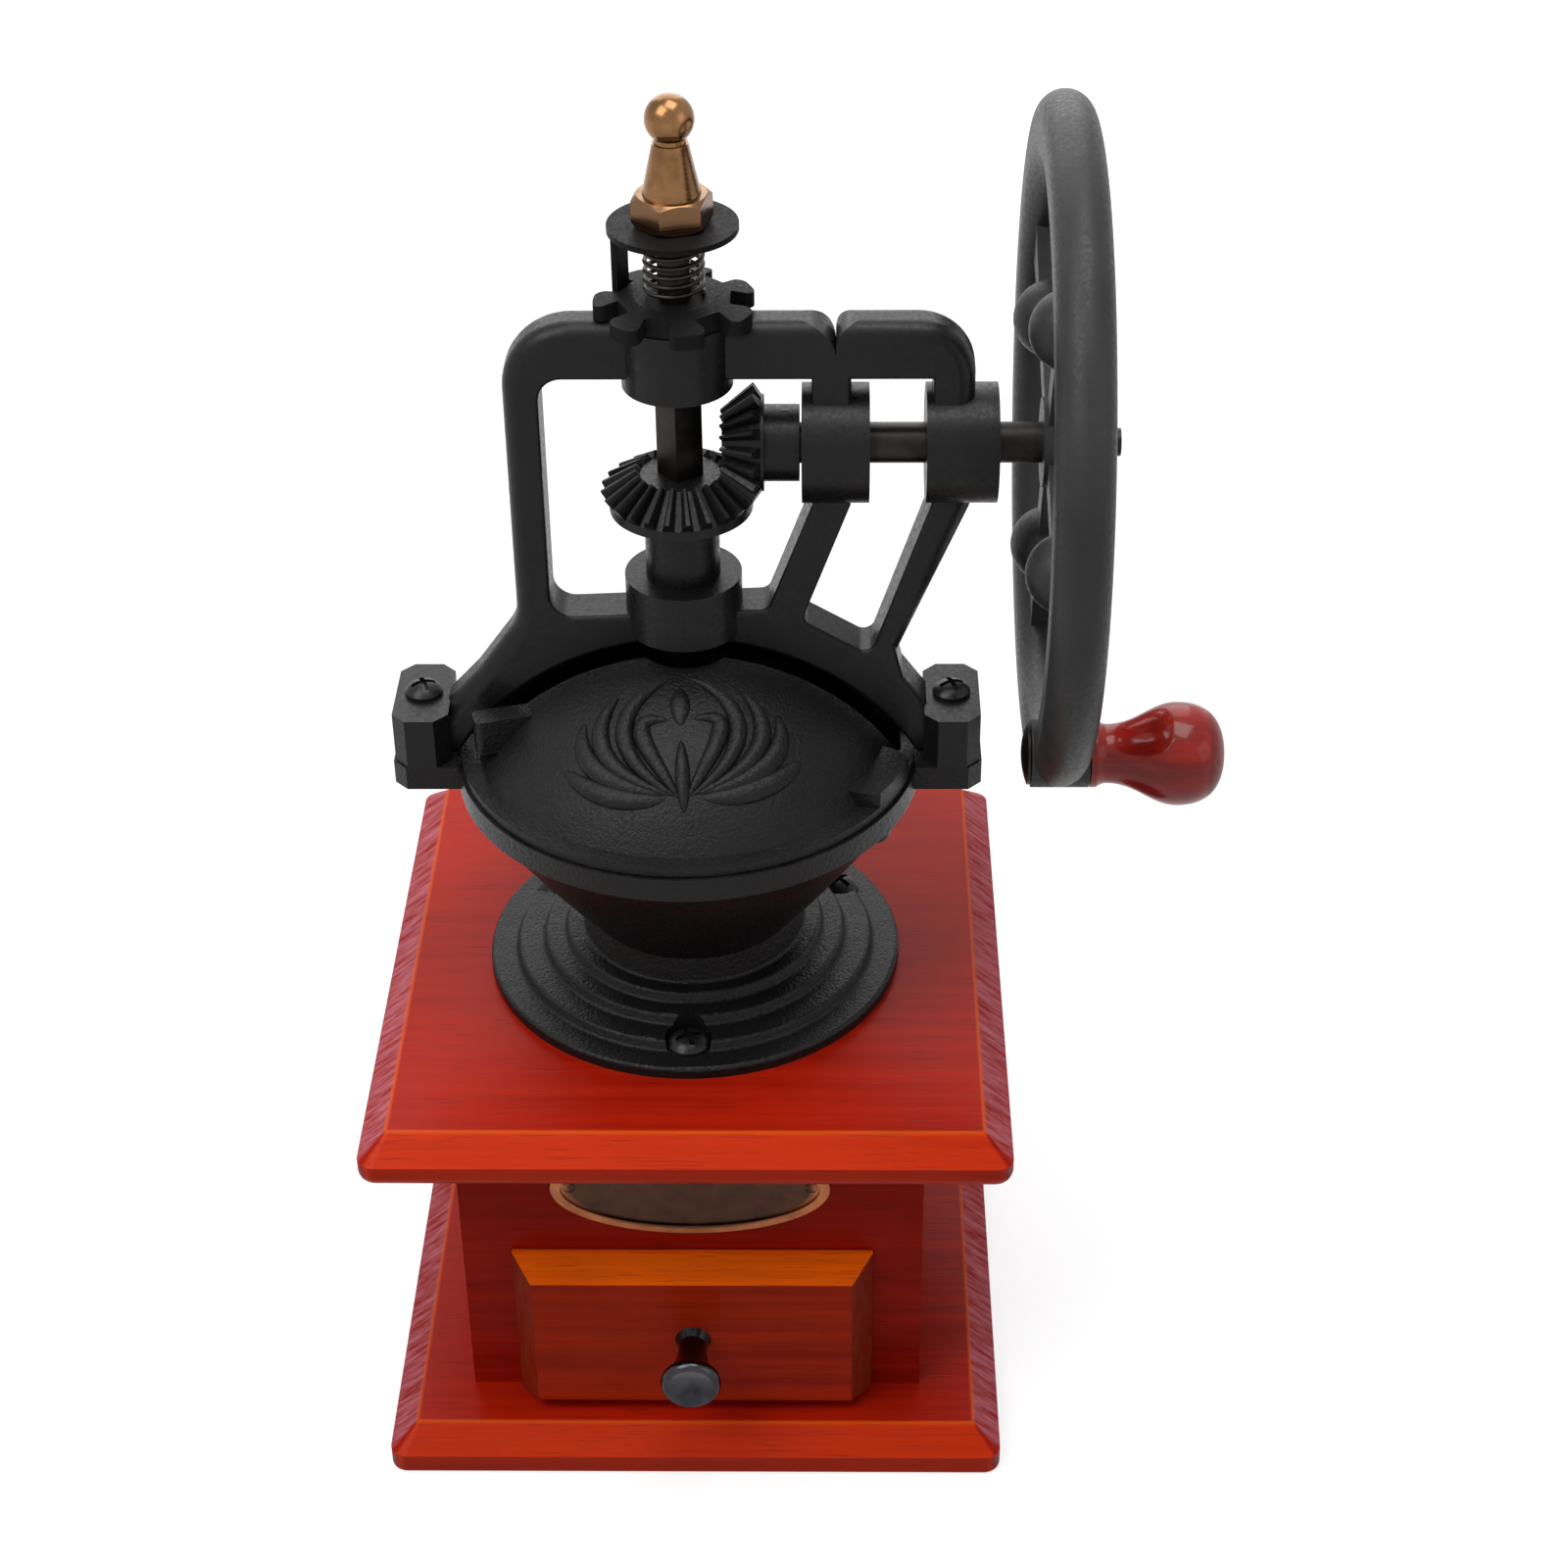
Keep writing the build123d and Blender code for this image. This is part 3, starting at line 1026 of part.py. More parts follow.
with BuildPart() as finial_nut:
    with BuildSketch(Plane.XY.offset(FINIAL_Z)):
        RegularPolygon(FINIAL_FLATS / 2, 6, major_radius=False, rotation=15)
    extrude(amount=FINIAL_HEX)
    with BuildSketch(Plane.XZ):
        hex_corner = FINIAL_FLATS / math.sqrt(3)
        flat_r = FINIAL_FLATS / 2 - 0.2
        rise = FINIAL_HEX_CHAMFER
        Polygon([(0, FINIAL_Z), (flat_r, FINIAL_Z), (hex_corner, FINIAL_Z + rise),
                 (hex_corner, cone_foot_z - rise), (flat_r, cone_foot_z), (0, cone_foot_z)], align=None)
    revolve(axis=Axis.Z, mode=Mode.INTERSECT)
    with BuildSketch(Plane.XZ):
        with BuildLine():
            Polyline((0, cone_foot_z), (FINIAL_CONE_R, cone_foot_z), (FINIAL_CONE_TOP_R, cone_top_z),
                     (ball_foot_r, cone_top_z), (ball_foot_r, cone_top_z + FINIAL_NECK))
            ThreePointArc((ball_foot_r, cone_top_z + FINIAL_NECK), (FINIAL_BALL_R, ball_z),
                          (0, ball_z + FINIAL_BALL_R))
            Line((0, ball_z + FINIAL_BALL_R), (0, cone_foot_z))
        make_face()
    revolve(axis=Axis.Z)
    with BuildSketch(Plane.XY.offset(FINIAL_Z)):
        Circle(SPINDLE_R + FIXED_FIT)
    extrude(amount=FINIAL_GRIP, mode=Mode.SUBTRACT)
finial_nut.part.label = "finial_nut"

# Crank
pinion_front_x = pinion_back_x - FACE_WIDTH * math.sin(math.atan(GEAR_TEETH / PINION_TEETH))
spigot_end_x = WHEEL_HUB_X[1] + SPIGOT_THREAD

with BuildPart() as drive_shaft:
    with BuildSketch(Plane.YZ.offset(pinion_front_x)):
        with Locations((0, SHAFT_Z)):
            Circle(SHAFT_R)
    extrude(amount=WHEEL_HUB_X[0] - pinion_front_x)
    with BuildSketch(Plane.YZ.offset(WHEEL_HUB_X[0])):
        with Locations((0, SHAFT_Z)):
            Circle(SPIGOT_R)
    extrude(amount=spigot_end_x - WHEEL_HUB_X[0])
    with Locations((pinion_pin_x, 0, SHAFT_Z)):
        Cylinder(PINION_PIN_R + FIXED_FIT, 2 * PINION_HUB_R, mode=Mode.SUBTRACT)
drive_shaft.part.label = "drive_shaft"

wheel_plane = Plane((WHEEL_X, 0, SHAFT_Z), x_dir=(0, 1, 0), z_dir=(1, 0, 0))
rim_inner_r = RIM_R - RIM_DEPTH / 2

flare_start = rim_inner_r - SPOKE_FLARE_LENGTH
flare_end = rim_inner_r + 1.5
flare_middle = (flare_start + SPOKE_FLARE_LENGTH * 0.6, SPOKE_WIDTH / 2 + SPOKE_FLARE * 0.08)

with BuildSketch() as spoke:
    with BuildLine():
        ThreePointArc((flare_end, SPOKE_FLARE / 2), flare_middle, (flare_start, SPOKE_WIDTH / 2))
        Polyline((flare_start, SPOKE_WIDTH / 2), (0, SPOKE_WIDTH / 2), (0, -SPOKE_WIDTH / 2),
                 (flare_start, -SPOKE_WIDTH / 2))
        ThreePointArc((flare_start, -SPOKE_WIDTH / 2), (flare_middle[0], -flare_middle[1]),
                      (flare_end, -SPOKE_FLARE / 2))
        Line((flare_end, -SPOKE_FLARE / 2), (flare_end, SPOKE_FLARE / 2))
    make_face()

with BuildPart() as hand_wheel:
    with BuildSketch(Plane.XZ):
        with Locations((WHEEL_X, SHAFT_Z + RIM_R)):
            SlotOverall(RIM_DEPTH, RIM_WIDTH, rotation=90)
    revolve(axis=SHAFT_AXIS)
    with BuildSketch(wheel_plane):
        with PolarLocations(0, SPOKES, start_angle=SPOKE_ANGLE):
            add(spoke.sketch)
    extrude(amount=SPOKE_THICK / 2, both=True)
    with Locations(wheel_plane):
        with PolarLocations(SPOKE_BALL_CIRCLE, SPOKES, start_angle=SPOKE_ANGLE):
            Sphere(SPOKE_BALL_R, rotation=(0, 0, 45))
    with BuildSketch(Plane.YZ.offset(WHEEL_HUB_X[0])):
        with Locations((0, SHAFT_Z)):
            Circle(WHEEL_HUB_R)
    extrude(amount=WHEEL_HUB_X[1] - WHEEL_HUB_X[0])
    with BuildSketch(Plane.YZ.offset(WHEEL_HUB_X[0])):
        with Locations((0, SHAFT_Z)):
            Circle(SPIGOT_R + FIXED_FIT)
    extrude(amount=WHEEL_HUB_X[1] - WHEEL_HUB_X[0], mode=Mode.SUBTRACT)
    with BuildSketch(Plane.YZ.offset(RIM_INNER_X)):
        with Locations((HANDLE_Y, HANDLE_Z)):
            Circle(HANDLE_FOOT_R)
    extrude(amount=RIM_OUTER_X - RIM_INNER_X)
    with BuildSketch(Plane.YZ.offset(RIM_INNER_X)):
        with Locations((HANDLE_Y, HANDLE_Z)):
            Circle(HANDLE_BOLT_R + RUNNING_FIT)
    extrude(amount=RIM_OUTER_X - RIM_INNER_X, mode=Mode.SUBTRACT)
hand_wheel.part.label = "hand_wheel"

with BuildPart() as wheel_washer:
    with BuildSketch(Plane.YZ.offset(WHEEL_HUB_X[1])):
        with Locations((0, SHAFT_Z)):
            Circle(WHEEL_WASHER_R)
            Circle(SPIGOT_R + FIXED_FIT, mode=Mode.SUBTRACT)
    extrude(amount=WHEEL_WASHER_THICK)
wheel_washer.part.label = "wheel_washer"

wheel_nut_blank = hex_nut(WHEEL_NUT_FLATS, WHEEL_NUT_THICK, SPIGOT_R + FIXED_FIT)
wheel_nut_x = WHEEL_HUB_X[1] + WHEEL_WASHER_THICK
with BuildPart() as wheel_nut:
    with Locations(Plane((wheel_nut_x, 0, SHAFT_Z), x_dir=(0, 1, 0), z_dir=(1, 0, 0))):
        add(wheel_nut_blank)
wheel_nut.part.label = "wheel_nut"

# Handle
handle_foot_x = RIM_OUTER_X + FACE_GAP
handle_end_x = handle_foot_x + HANDLE_LENGTH
neck_x = handle_foot_x + HANDLE_NECK
bulb_x = handle_foot_x + HANDLE_BULB

with BuildPart() as handle:
    with BuildSketch(Plane((0, HANDLE_Y, HANDLE_Z))):
        with BuildLine():
            Polyline((handle_foot_x, 0), (handle_foot_x, HANDLE_FOOT_R), (handle_foot_x + 1.2, HANDLE_FOOT_R))
            Spline([(handle_foot_x + 1.2, HANDLE_FOOT_R), (neck_x, HANDLE_NECK_R), (bulb_x, HANDLE_BULB_R),
                    (handle_end_x, 0)], tangents=[(1, -0.6), (1, 0), (1, 0), (0, -1)])
            Line((handle_end_x, 0), (handle_foot_x, 0))
        make_face()
    revolve(axis=HANDLE_AXIS)
    with BuildSketch(Plane.YZ.offset(handle_foot_x)):
        with Locations((HANDLE_Y, HANDLE_Z)):
            Circle(HANDLE_BOLT_R + FIXED_FIT)
    extrude(amount=HANDLE_BOLT_GRIP, mode=Mode.SUBTRACT)
handle.part.label = "handle"

bolt_blank = pan_head_screw(HANDLE_BOLT_HEAD_R, HANDLE_BOLT_HEAD, HANDLE_BOLT_R,
                            RIM_OUTER_X - RIM_INNER_X + 2 * FACE_GAP + HANDLE_BOLT_GRIP - 0.5)
with BuildPart() as handle_bolt:
    with Locations(Plane((RIM_INNER_X - FACE_GAP, HANDLE_Y, HANDLE_Z), x_dir=(0, 1, 0), z_dir=(-1, 0, 0))):
        add(bolt_blank)
handle_bolt.part.label = "handle_bolt"

pieces = [base_plate.part, base_screws.part, front_panel.part, back_panel.part, left_panel, right_panel,
          top_plate.part, drawer_front.part, drawer_left_side, drawer_right_side, drawer_back.part,
          drawer_floor.part, drawer_knob.part, knob_screw.part, badge_plate.part, badge_pins.part,
          mill_body.part, flange_screws.part, ring_burr.part, cone_burr.part, burr_nut.part, front_lid.part,
          lid_pin.part, rear_cover.part, bridge.part, lug_screws.part, bevel_gear.part, bevel_pinion.part,
          pinion_pin.part, spindle.part, adjusting_dial.part, adjuster_spring.part, lock_plate.part,
          finial_nut.part, drive_shaft.part, hand_wheel.part, wheel_washer.part, wheel_nut.part, handle.part,
          handle_bolt.part]
for piece in pieces:
    export_step(piece, f"parts/{piece.label}.step")
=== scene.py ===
"""Dresses the box coffee mill: lacquered wood, sandy black castings, brass finial, studio and camera."""

import math

import bmesh
import bpy
from mathutils import Matrix, Vector


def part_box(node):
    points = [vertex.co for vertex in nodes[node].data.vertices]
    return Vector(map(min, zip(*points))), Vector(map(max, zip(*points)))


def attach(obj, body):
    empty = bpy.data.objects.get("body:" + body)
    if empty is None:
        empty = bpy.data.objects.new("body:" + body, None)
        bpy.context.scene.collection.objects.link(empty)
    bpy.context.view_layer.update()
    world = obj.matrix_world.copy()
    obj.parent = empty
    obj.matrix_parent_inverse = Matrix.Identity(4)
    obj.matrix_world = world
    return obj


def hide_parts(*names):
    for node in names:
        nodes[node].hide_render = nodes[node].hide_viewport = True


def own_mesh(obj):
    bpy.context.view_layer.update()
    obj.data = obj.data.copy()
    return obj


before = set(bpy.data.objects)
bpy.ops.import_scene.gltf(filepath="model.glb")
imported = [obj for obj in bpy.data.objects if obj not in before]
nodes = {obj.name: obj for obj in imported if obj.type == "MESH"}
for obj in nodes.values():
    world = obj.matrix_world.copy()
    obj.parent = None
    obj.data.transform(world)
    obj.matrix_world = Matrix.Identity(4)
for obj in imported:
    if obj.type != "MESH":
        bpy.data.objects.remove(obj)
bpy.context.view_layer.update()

MM = 0.001
X, Y, Z = 0, 1, 2
WHITE = (1, 1, 1, 1)


def linear(colour):
    """Turns an sRGB hex colour into the linear colour that a shader takes."""
    parts = [int(colour[i:i + 2], 16) / 255 for i in (1, 3, 5)]
    return [p / 12.92 if p <= 0.04045 else ((p + 0.055) / 1.055) ** 2.4 for p in parts] + [1.0]


def add(owner, kind, inputs=None, **settings):
    """Adds one shader node to a material or the world, and sets or links its inputs."""
    made = owner.node_tree.nodes.new(kind)
    for name, value in settings.items():
        setattr(made, name, value)
    for name, value in (inputs or {}).items():
        if isinstance(value, bpy.types.NodeSocket):
            owner.node_tree.links.new(value, made.inputs[name])
        else:
            made.inputs[name].default_value = value
    return made


def reckon(owner, operation, first, second=0.0):
    """One sum with two values."""
    return add(owner, "ShaderNodeMath", {0: first, 1: second}, operation=operation).outputs[0]


def band(owner, value, low=0.0, high=1.0, start=0.0, end=1.0):
    """Spreads the values between low and high from start to end."""
    spans = {"Value": value, "From Min": low, "From Max": high, "To Min": start, "To Max": end}
    return add(owner, "ShaderNodeMapRange", spans).outputs[0]


def blend(material, share, first, second):
    """Mixes two colours. Each is a hex colour or what another node gives."""
    first, second = [linear(c) if isinstance(c, str) else c for c in (first, second)]
    return add(material, "ShaderNodeMix", {0: share, 6: first, 7: second}, data_type="RGBA").outputs[2]


def stretch(material, place, sizes, **more):
    """Coordinates in which a pattern gets these sizes along X, Y and Z."""
    inputs = {"Vector": place, "Scale": [1 / size for size in sizes], **more}
    return add(material, "ShaderNodeMapping", inputs).outputs[0]


def noise(material, place, size, detail, **more):
    """A cloudy pattern with patches of this size."""
    inputs = {"Vector": place, "Scale": 1 / size, "Detail": detail, **more}
    return add(material, "ShaderNodeTexNoise", inputs).outputs["Fac"]


def bumps(material, height, strength, depth, **more):
    """A rough surface from a pattern of heights."""
    inputs = {"Height": height, "Strength": strength, "Distance": depth, **more}
    return add(material, "ShaderNodeBump", inputs).outputs[0]


def begin(name, **constants):
    """Starts a material and returns it with its shader and its Object coordinates."""
    material = bpy.data.materials.new(name)
    material.use_nodes = True
    shader = material.node_tree.nodes["Principled BSDF"]
    for socket, value in constants.items():
        shader.inputs[socket.replace("_", " ")].default_value = value
    place = add(material, "ShaderNodeTexCoord").outputs["Object"]
    return material, shader, place


def feed(owner, shader, **sources):
    """Links what other nodes give to the shader's sockets."""
    for socket, source in sources.items():
        owner.node_tree.links.new(source, shader.inputs[socket.replace("_", " ")])


def painted_bevel_highlight(material, colour, facing, tone, axis, low, high, highlight_colour):
    """Paints an orange highlight on cut bevels, the faces between two tilts, picked by the way they face."""
    fade = 0.1
    tilt = reckon(material, "ABSOLUTE", facing[axis])
    from_low = band(material, tilt, low, low + fade)
    to_high = band(material, tilt, high - fade, high, 1.0, 0.0)
    bevel = reckon(material, "MULTIPLY", from_low, to_high)
    streaky = band(material, tone, start=1.0, end=0.55)
    share = reckon(material, "MULTIPLY", bevel, streaky)
    return blend(material, share, colour, highlight_colour)


def painted_arris_highlight(material, colour, place, half, highlight_colour):
    """Paints a thin highlight along the edges that lie this far from the middle of a plate."""
    parts = add(material, "ShaderNodeSeparateXYZ", {0: place}).outputs
    reach_x = reckon(material, "ABSOLUTE", parts[X])
    reach_y = reckon(material, "ABSOLUTE", parts[Y])
    reach = reckon(material, "MAXIMUM", reach_x, reach_y)
    off = reckon(material, "SUBTRACT", reach, half)
    off = reckon(material, "ABSOLUTE", off)
    highlight_line = band(material, off, 0.1 * MM, 0.7 * MM, 0.6, 0.0)
    return blend(material, highlight_line, colour, highlight_colour)


def stained_wood(name, grain, light, dark, sawn, sheen=0.04, film=0.0, arris_highlight=None, bevel_highlight=None):
    """Close grained hardwood, stained red under a satin lacquer: long soft streaks and short dark pores."""
    material, shader, place = begin(name, IOR=1.5, Specular_IOR_Level=sheen, Coat_Weight=film,
                                    Coat_Roughness=0.1)
    # Streaks are about 3 mm apart across the board and 90 mm long, pores about 0.5 mm wide and 12 mm long.
    streak_size = [3 * MM] * 3
    streak_size[grain] = 90 * MM
    pore_size = [0.5 * MM] * 3
    pore_size[grain] = 12 * MM
    streak = noise(material, stretch(material, place, streak_size), 1.0, 5.0, Distortion=0.4)
    pore = noise(material, stretch(material, place, pore_size), 1.0, 2.0)
    cloud = noise(material, place, 45 * MM, 2.0)
    streak_band = band(material, streak, 0.32, 0.68)
    cloud_band = band(material, cloud, 0.3, 0.7, 0.25, 1.0)
    tone = reckon(material, "MULTIPLY", streak_band, cloud_band)
    colour = blend(material, tone, light, dark)
    normal = add(material, "ShaderNodeTexCoord").outputs["Normal"]
    facing = add(material, "ShaderNodeSeparateXYZ", {0: normal}).outputs
    # Bevels that face a given way get a painted highlight
    if bevel_highlight:
        colour = painted_bevel_highlight(material, colour, facing, tone, *bevel_highlight)
    pits = band(material, pore, 0.58, 0.75, 0.0, 0.45)
    colour = blend(material, pits, colour, "#3A0804")
    # The saw left rough slanting marks about 1.5 mm apart on the end grain, which looks dusty and dull.
    ends = reckon(material, "ABSOLUTE", facing[grain])
    ends = band(material, ends, 0.5, 0.62)
    saw_place = stretch(material, place, (12 * MM, 1.5 * MM, 8 * MM), Rotation=(0.5, 0, 0))
    saw = noise(material, saw_place, 1.0, 4.0, Roughness=0.65)
    saw_colour = blend(material, band(material, saw, 0.36, 0.64), dark, sawn)
    colour = blend(material, ends, colour, saw_colour)
    # A painted highlight along the plate's edges
    if arris_highlight:
        colour = painted_arris_highlight(material, colour, place, *arris_highlight)
    rough = band(material, ends, start=0.3, end=0.55)
    pit_depth = reckon(material, "MULTIPLY", pits, 0.4)
    saw_height = reckon(material, "MULTIPLY", saw, ends)
    height = reckon(material, "SUBTRACT", saw_height, pit_depth)
    bump = bumps(material, height, 0.5, 0.4 * MM)
    feed(material, shader, Base_Color=colour, Roughness=rough, Normal=bump)
    return material


def pale_wood(name, light, dark):
    """Unstained drawer wood with a dry open grain, about 2.4 mm across and 71 mm long."""
    material, shader, place = begin(name, IOR=1.5, Roughness=0.6)
    grain_place = stretch(material, place, (2.38 * MM, 71.4 * MM, 2.38 * MM))
    grain = noise(material, grain_place, 1.0, 5.0)
    colour = blend(material, grain, light, dark)
    bump = bumps(material, grain, 0.2, 0.2 * MM)
    feed(material, shader, Base_Color=colour, Normal=bump)
    return material


def sandy_iron(name, colour, worn, rough, grit, lump, depth, sheen=0.22):
    """Black lacquer on a casting. The grit of the mould shows as fine speckles. Sizes are in millimetres."""
    material, shader, place = begin(name, IOR=1.5, Specular_IOR_Level=sheen)
    fine = noise(material, place, grit * MM, 3.0, Roughness=0.6)
    broad = noise(material, place, lump * MM, 2.0)
    patch = noise(material, place, 22 * MM, 3.0)
    shade = blend(material, band(material, patch, 0.35, 0.7), colour, worn)
    gloss = band(material, fine, 0.3, 0.7, rough - 0.12, rough + 0.14)
    coarse = bumps(material, broad, 0.2, 3 * depth * MM)
    bump = bumps(material, fine, 0.8, depth * MM, Normal=coarse)
    feed(material, shader, Base_Color=shade, Roughness=gloss, Normal=bump)
    return material


def turned_metal(name, colour, tarnish, rough, axis, ring, dull=None):
    """Bare metal off the lathe: rings round the axis, spaced in millimetres, and tarnish in patches."""
    material, shader, place = begin(name, Metallic=1.0)
    ring_size = [math.inf] * 3
    ring_size[axis] = ring * MM
    rings = noise(material, stretch(material, place, ring_size), 1.0, 3.0)
    patch = noise(material, place, 5 * MM, 4.0)
    shade = blend(material, band(material, patch, 0.4, 0.75), colour, tarnish)
    if dull:
        # Handled below this height and gone brown
        top, brown = dull
        height = add(material, "ShaderNodeSeparateXYZ", {0: place}).outputs[Z]
        foot = band(material, height, top - 0.3 * MM, top, 0.9, 0.0)
        shade = blend(material, foot, shade, brown)
    gloss = band(material, rings, 0.3, 0.7, rough - 0.06, rough + 0.08)
    bump = bumps(material, rings, 0.25, 0.05 * MM)
    feed(material, shader, Base_Color=shade, Roughness=gloss, Normal=bump)
    return material


def badge_copper(name, low, high, field, border):
    """Pressed oval copper plate, darkened in the field and rubbed bright on its raised border."""
    material, shader, place = begin(name, Metallic=1.0)
    centre = (low + high) / 2
    half = (high - low) / 2
    shift = add(material, "ShaderNodeMapping", {"Vector": place, "Location": -centre}).outputs[0]
    oval = stretch(material, shift, (half.x, math.inf, half.z))
    reach = add(material, "ShaderNodeVectorMath", {0: oval}, operation="LENGTH").outputs["Value"]
    patch = noise(material, place, 4 * MM, 5.0)
    inside = blend(material, patch, *field)
    rim = blend(material, patch, *border)
    shade = blend(material, band(material, reach, 0.86, 0.92), inside, rim)
    gloss = band(material, patch, start=0.3, end=0.55)
    bump = bumps(material, patch, 0.2, 0.1 * MM)
    feed(material, shader, Base_Color=shade, Roughness=gloss, Normal=bump)
    return material


# The bevel of a wooden plate begins this far from its middle. The finial's hexagon is this high.
PLATE_ARRIS = 66.1 * MM
FINIAL_HEX = 6.6 * MM
FINIAL_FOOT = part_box("finial_nut")[0].z
badge_low, badge_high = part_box("badge_plate")

# The plates get painted highlights on their bevels and along their edges
board_wood = stained_wood("red_board_wood", X, "#A41C08", "#8A1205", "#B0606A", sheen=0.07,
                          arris_highlight=(PLATE_ARRIS, "#D4560F"), bevel_highlight=(Y, 0.4, 1.05, "#C2300A"))
side_wood = stained_wood("red_side_wood", Y, "#A0180A", "#7A0F05", "#6A1A16")
front_wood = stained_wood("red_front_wood", X, "#A01A0A", "#7C1005", "#6A1A16")
# The drawer front's top bevel gets a painted orange highlight
drawer_wood = stained_wood("orange_drawer_wood", X, "#A8280A", "#7C1606", "#7A2A10",
                           bevel_highlight=(Z, 0.5, 1.2, "#FF6C0C"))
drawer_inner = pale_wood("bare_drawer_wood", "#D2AC78", "#A97F50")
handle_wood = stained_wood("red_handle_wood", X, "#A21C12", "#6A0E08", "#7A180E", sheen=0.1, film=0.35)
cast_iron = sandy_iron("sandy_black_casting", "#121212", "#191919", rough=0.34, grit=0.8, lump=7.0,
                       depth=0.34, sheen=0.16)
frame_iron = sandy_iron("smooth_black_casting", "#111111", "#171717", rough=0.36, grit=1.0, lump=6.0,
                        depth=0.03, sheen=0.18)
wheel_iron = sandy_iron("grey_black_casting", "#242424", "#303030", rough=0.46, grit=0.9, lump=6.0,
                        depth=0.06)
plate_iron = sandy_iron("dull_black_plate", "#141414", "#191919", rough=0.5, grit=0.8, lump=5.0,
                        depth=0.03, sheen=0.06)
screw_iron = sandy_iron("blackened_screw", "#121212", "#1A1A1A", rough=0.3, grit=0.8, lump=3.0, depth=0.03)
burr_iron = sandy_iron("burr_casting", "#4A4846", "#60605C", rough=0.5, grit=0.6, lump=3.0, depth=0.08)
brass = turned_metal("turned_brass", "#8C6645", "#664C30", rough=0.22, axis=Z, ring=0.5,
                     dull=(FINIAL_FOOT + FINIAL_HEX, "#6A4E38"))
dark_steel = turned_metal("blued_steel", "#3A3532", "#262322", rough=0.36, axis=Z, ring=0.6)
shaft_steel = turned_metal("blued_shaft_steel", "#302D2B", "#22201F", rough=0.38, axis=X, ring=0.6)
plain_steel = turned_metal("plain_steel", "#A8A8A6", "#82817E", rough=0.3, axis=Z, ring=0.6)
knob_nickel = turned_metal("black_nickel", "#3C3C40", "#26262A", rough=0.2, axis=Y, ring=0.5)
copper = badge_copper("pressed_copper", badge_low, badge_high, field=("#2A1F1B", "#54392C"),
                      border=("#B0704A", "#6E4029"))

finishes = [
    (board_wood, ["base_plate", "top_plate"]),
    (front_wood, ["front_panel", "back_panel"]),
    (side_wood, ["left_panel", "right_panel"]),
    (drawer_wood, ["drawer_front"]),
    (drawer_inner, ["drawer_left_side", "drawer_right_side", "drawer_back", "drawer_floor"]),
    (knob_nickel, ["drawer_knob"]),
    (plain_steel, ["knob_screw", "base_screws", "lid_pin", "burr_nut"]),
    (copper, ["badge_plate", "badge_pins"]),
    (cast_iron, ["mill_body", "front_lid", "rear_cover"]),
    (screw_iron, ["flange_screws", "lug_screws"]),
    (burr_iron, ["ring_burr", "cone_burr"]),
    (frame_iron, ["bridge", "bevel_gear", "bevel_pinion"]),
    (plate_iron, ["adjusting_dial", "lock_plate"]),
    (dark_steel, ["spindle", "adjuster_spring"]),
    (shaft_steel, ["drive_shaft", "pinion_pin", "wheel_washer", "wheel_nut", "handle_bolt"]),
    (brass, ["finial_nut"]),
    (wheel_iron, ["hand_wheel"]),
    (handle_wood, ["handle"]),
]
for material, names in finishes:
    for name in names:
        mesh = nodes[name].data
        mesh.materials.clear()
        mesh.materials.append(material)


def stand(name, shape, material):
    """Makes an object of a shape and its finish, in the shared frame."""
    for face in shape.faces:
        face.smooth = True
    mesh = bpy.data.meshes.new(name)
    shape.to_mesh(mesh)
    shape.free()
    mesh.materials.append(material)
    made = bpy.data.objects.new(name, mesh)
    bpy.context.scene.collection.objects.link(made)
    return made


# Palmette in relief on the lid: rounded leaves fan out from a foot low on the dome
DOME_R = 56.5 * MM
DOME_CENTRE = Vector((0, 0, 132.0 * MM))
PALMETTE_TILT = math.radians(31.6)
PALMETTE_TURN = math.radians(3.0)
# The middle of a leaf lies this deep in the dome, and its underside this much deeper, in millimetres
LEAF_SUNK = 0.25
LEAF_ROOT = 0.7
leaves = [
    # four points that the middle of the leaf follows, width and relief, in millimetres on the dome
    ([(0.0, 4.5), (0.0, 8.0), (0.0, 11.0), (0.0, 14.5)], 4.6, 1.8),
    ([(0.6, -12.5), (6.0, -3.5), (14.5, 9.5), (2.6, 6.0)], 4.2, 2.1),
    ([(1.2, -12.0), (14.0, -4.0), (18.0, 9.0), (1.8, 17.6)], 4.2, 2.4),
    ([(2.4, -11.5), (18.0, -6.0), (22.0, 5.0), (13.4, 14.0)], 4.4, 2.4),
    ([(3.4, -11.0), (16.0, -9.5), (25.0, -2.0), (21.4, 9.0)], 5.0, 2.0),
    ([(3.6, -12.0), (11.0, -13.0), (21.0, -10.5), (26.6, -2.4)], 5.4, 1.7),
    ([(0.0, -15.5), (0.0, -11.0), (0.0, -5.0), (0.0, 1.0)], 3.4, 2.0),
]


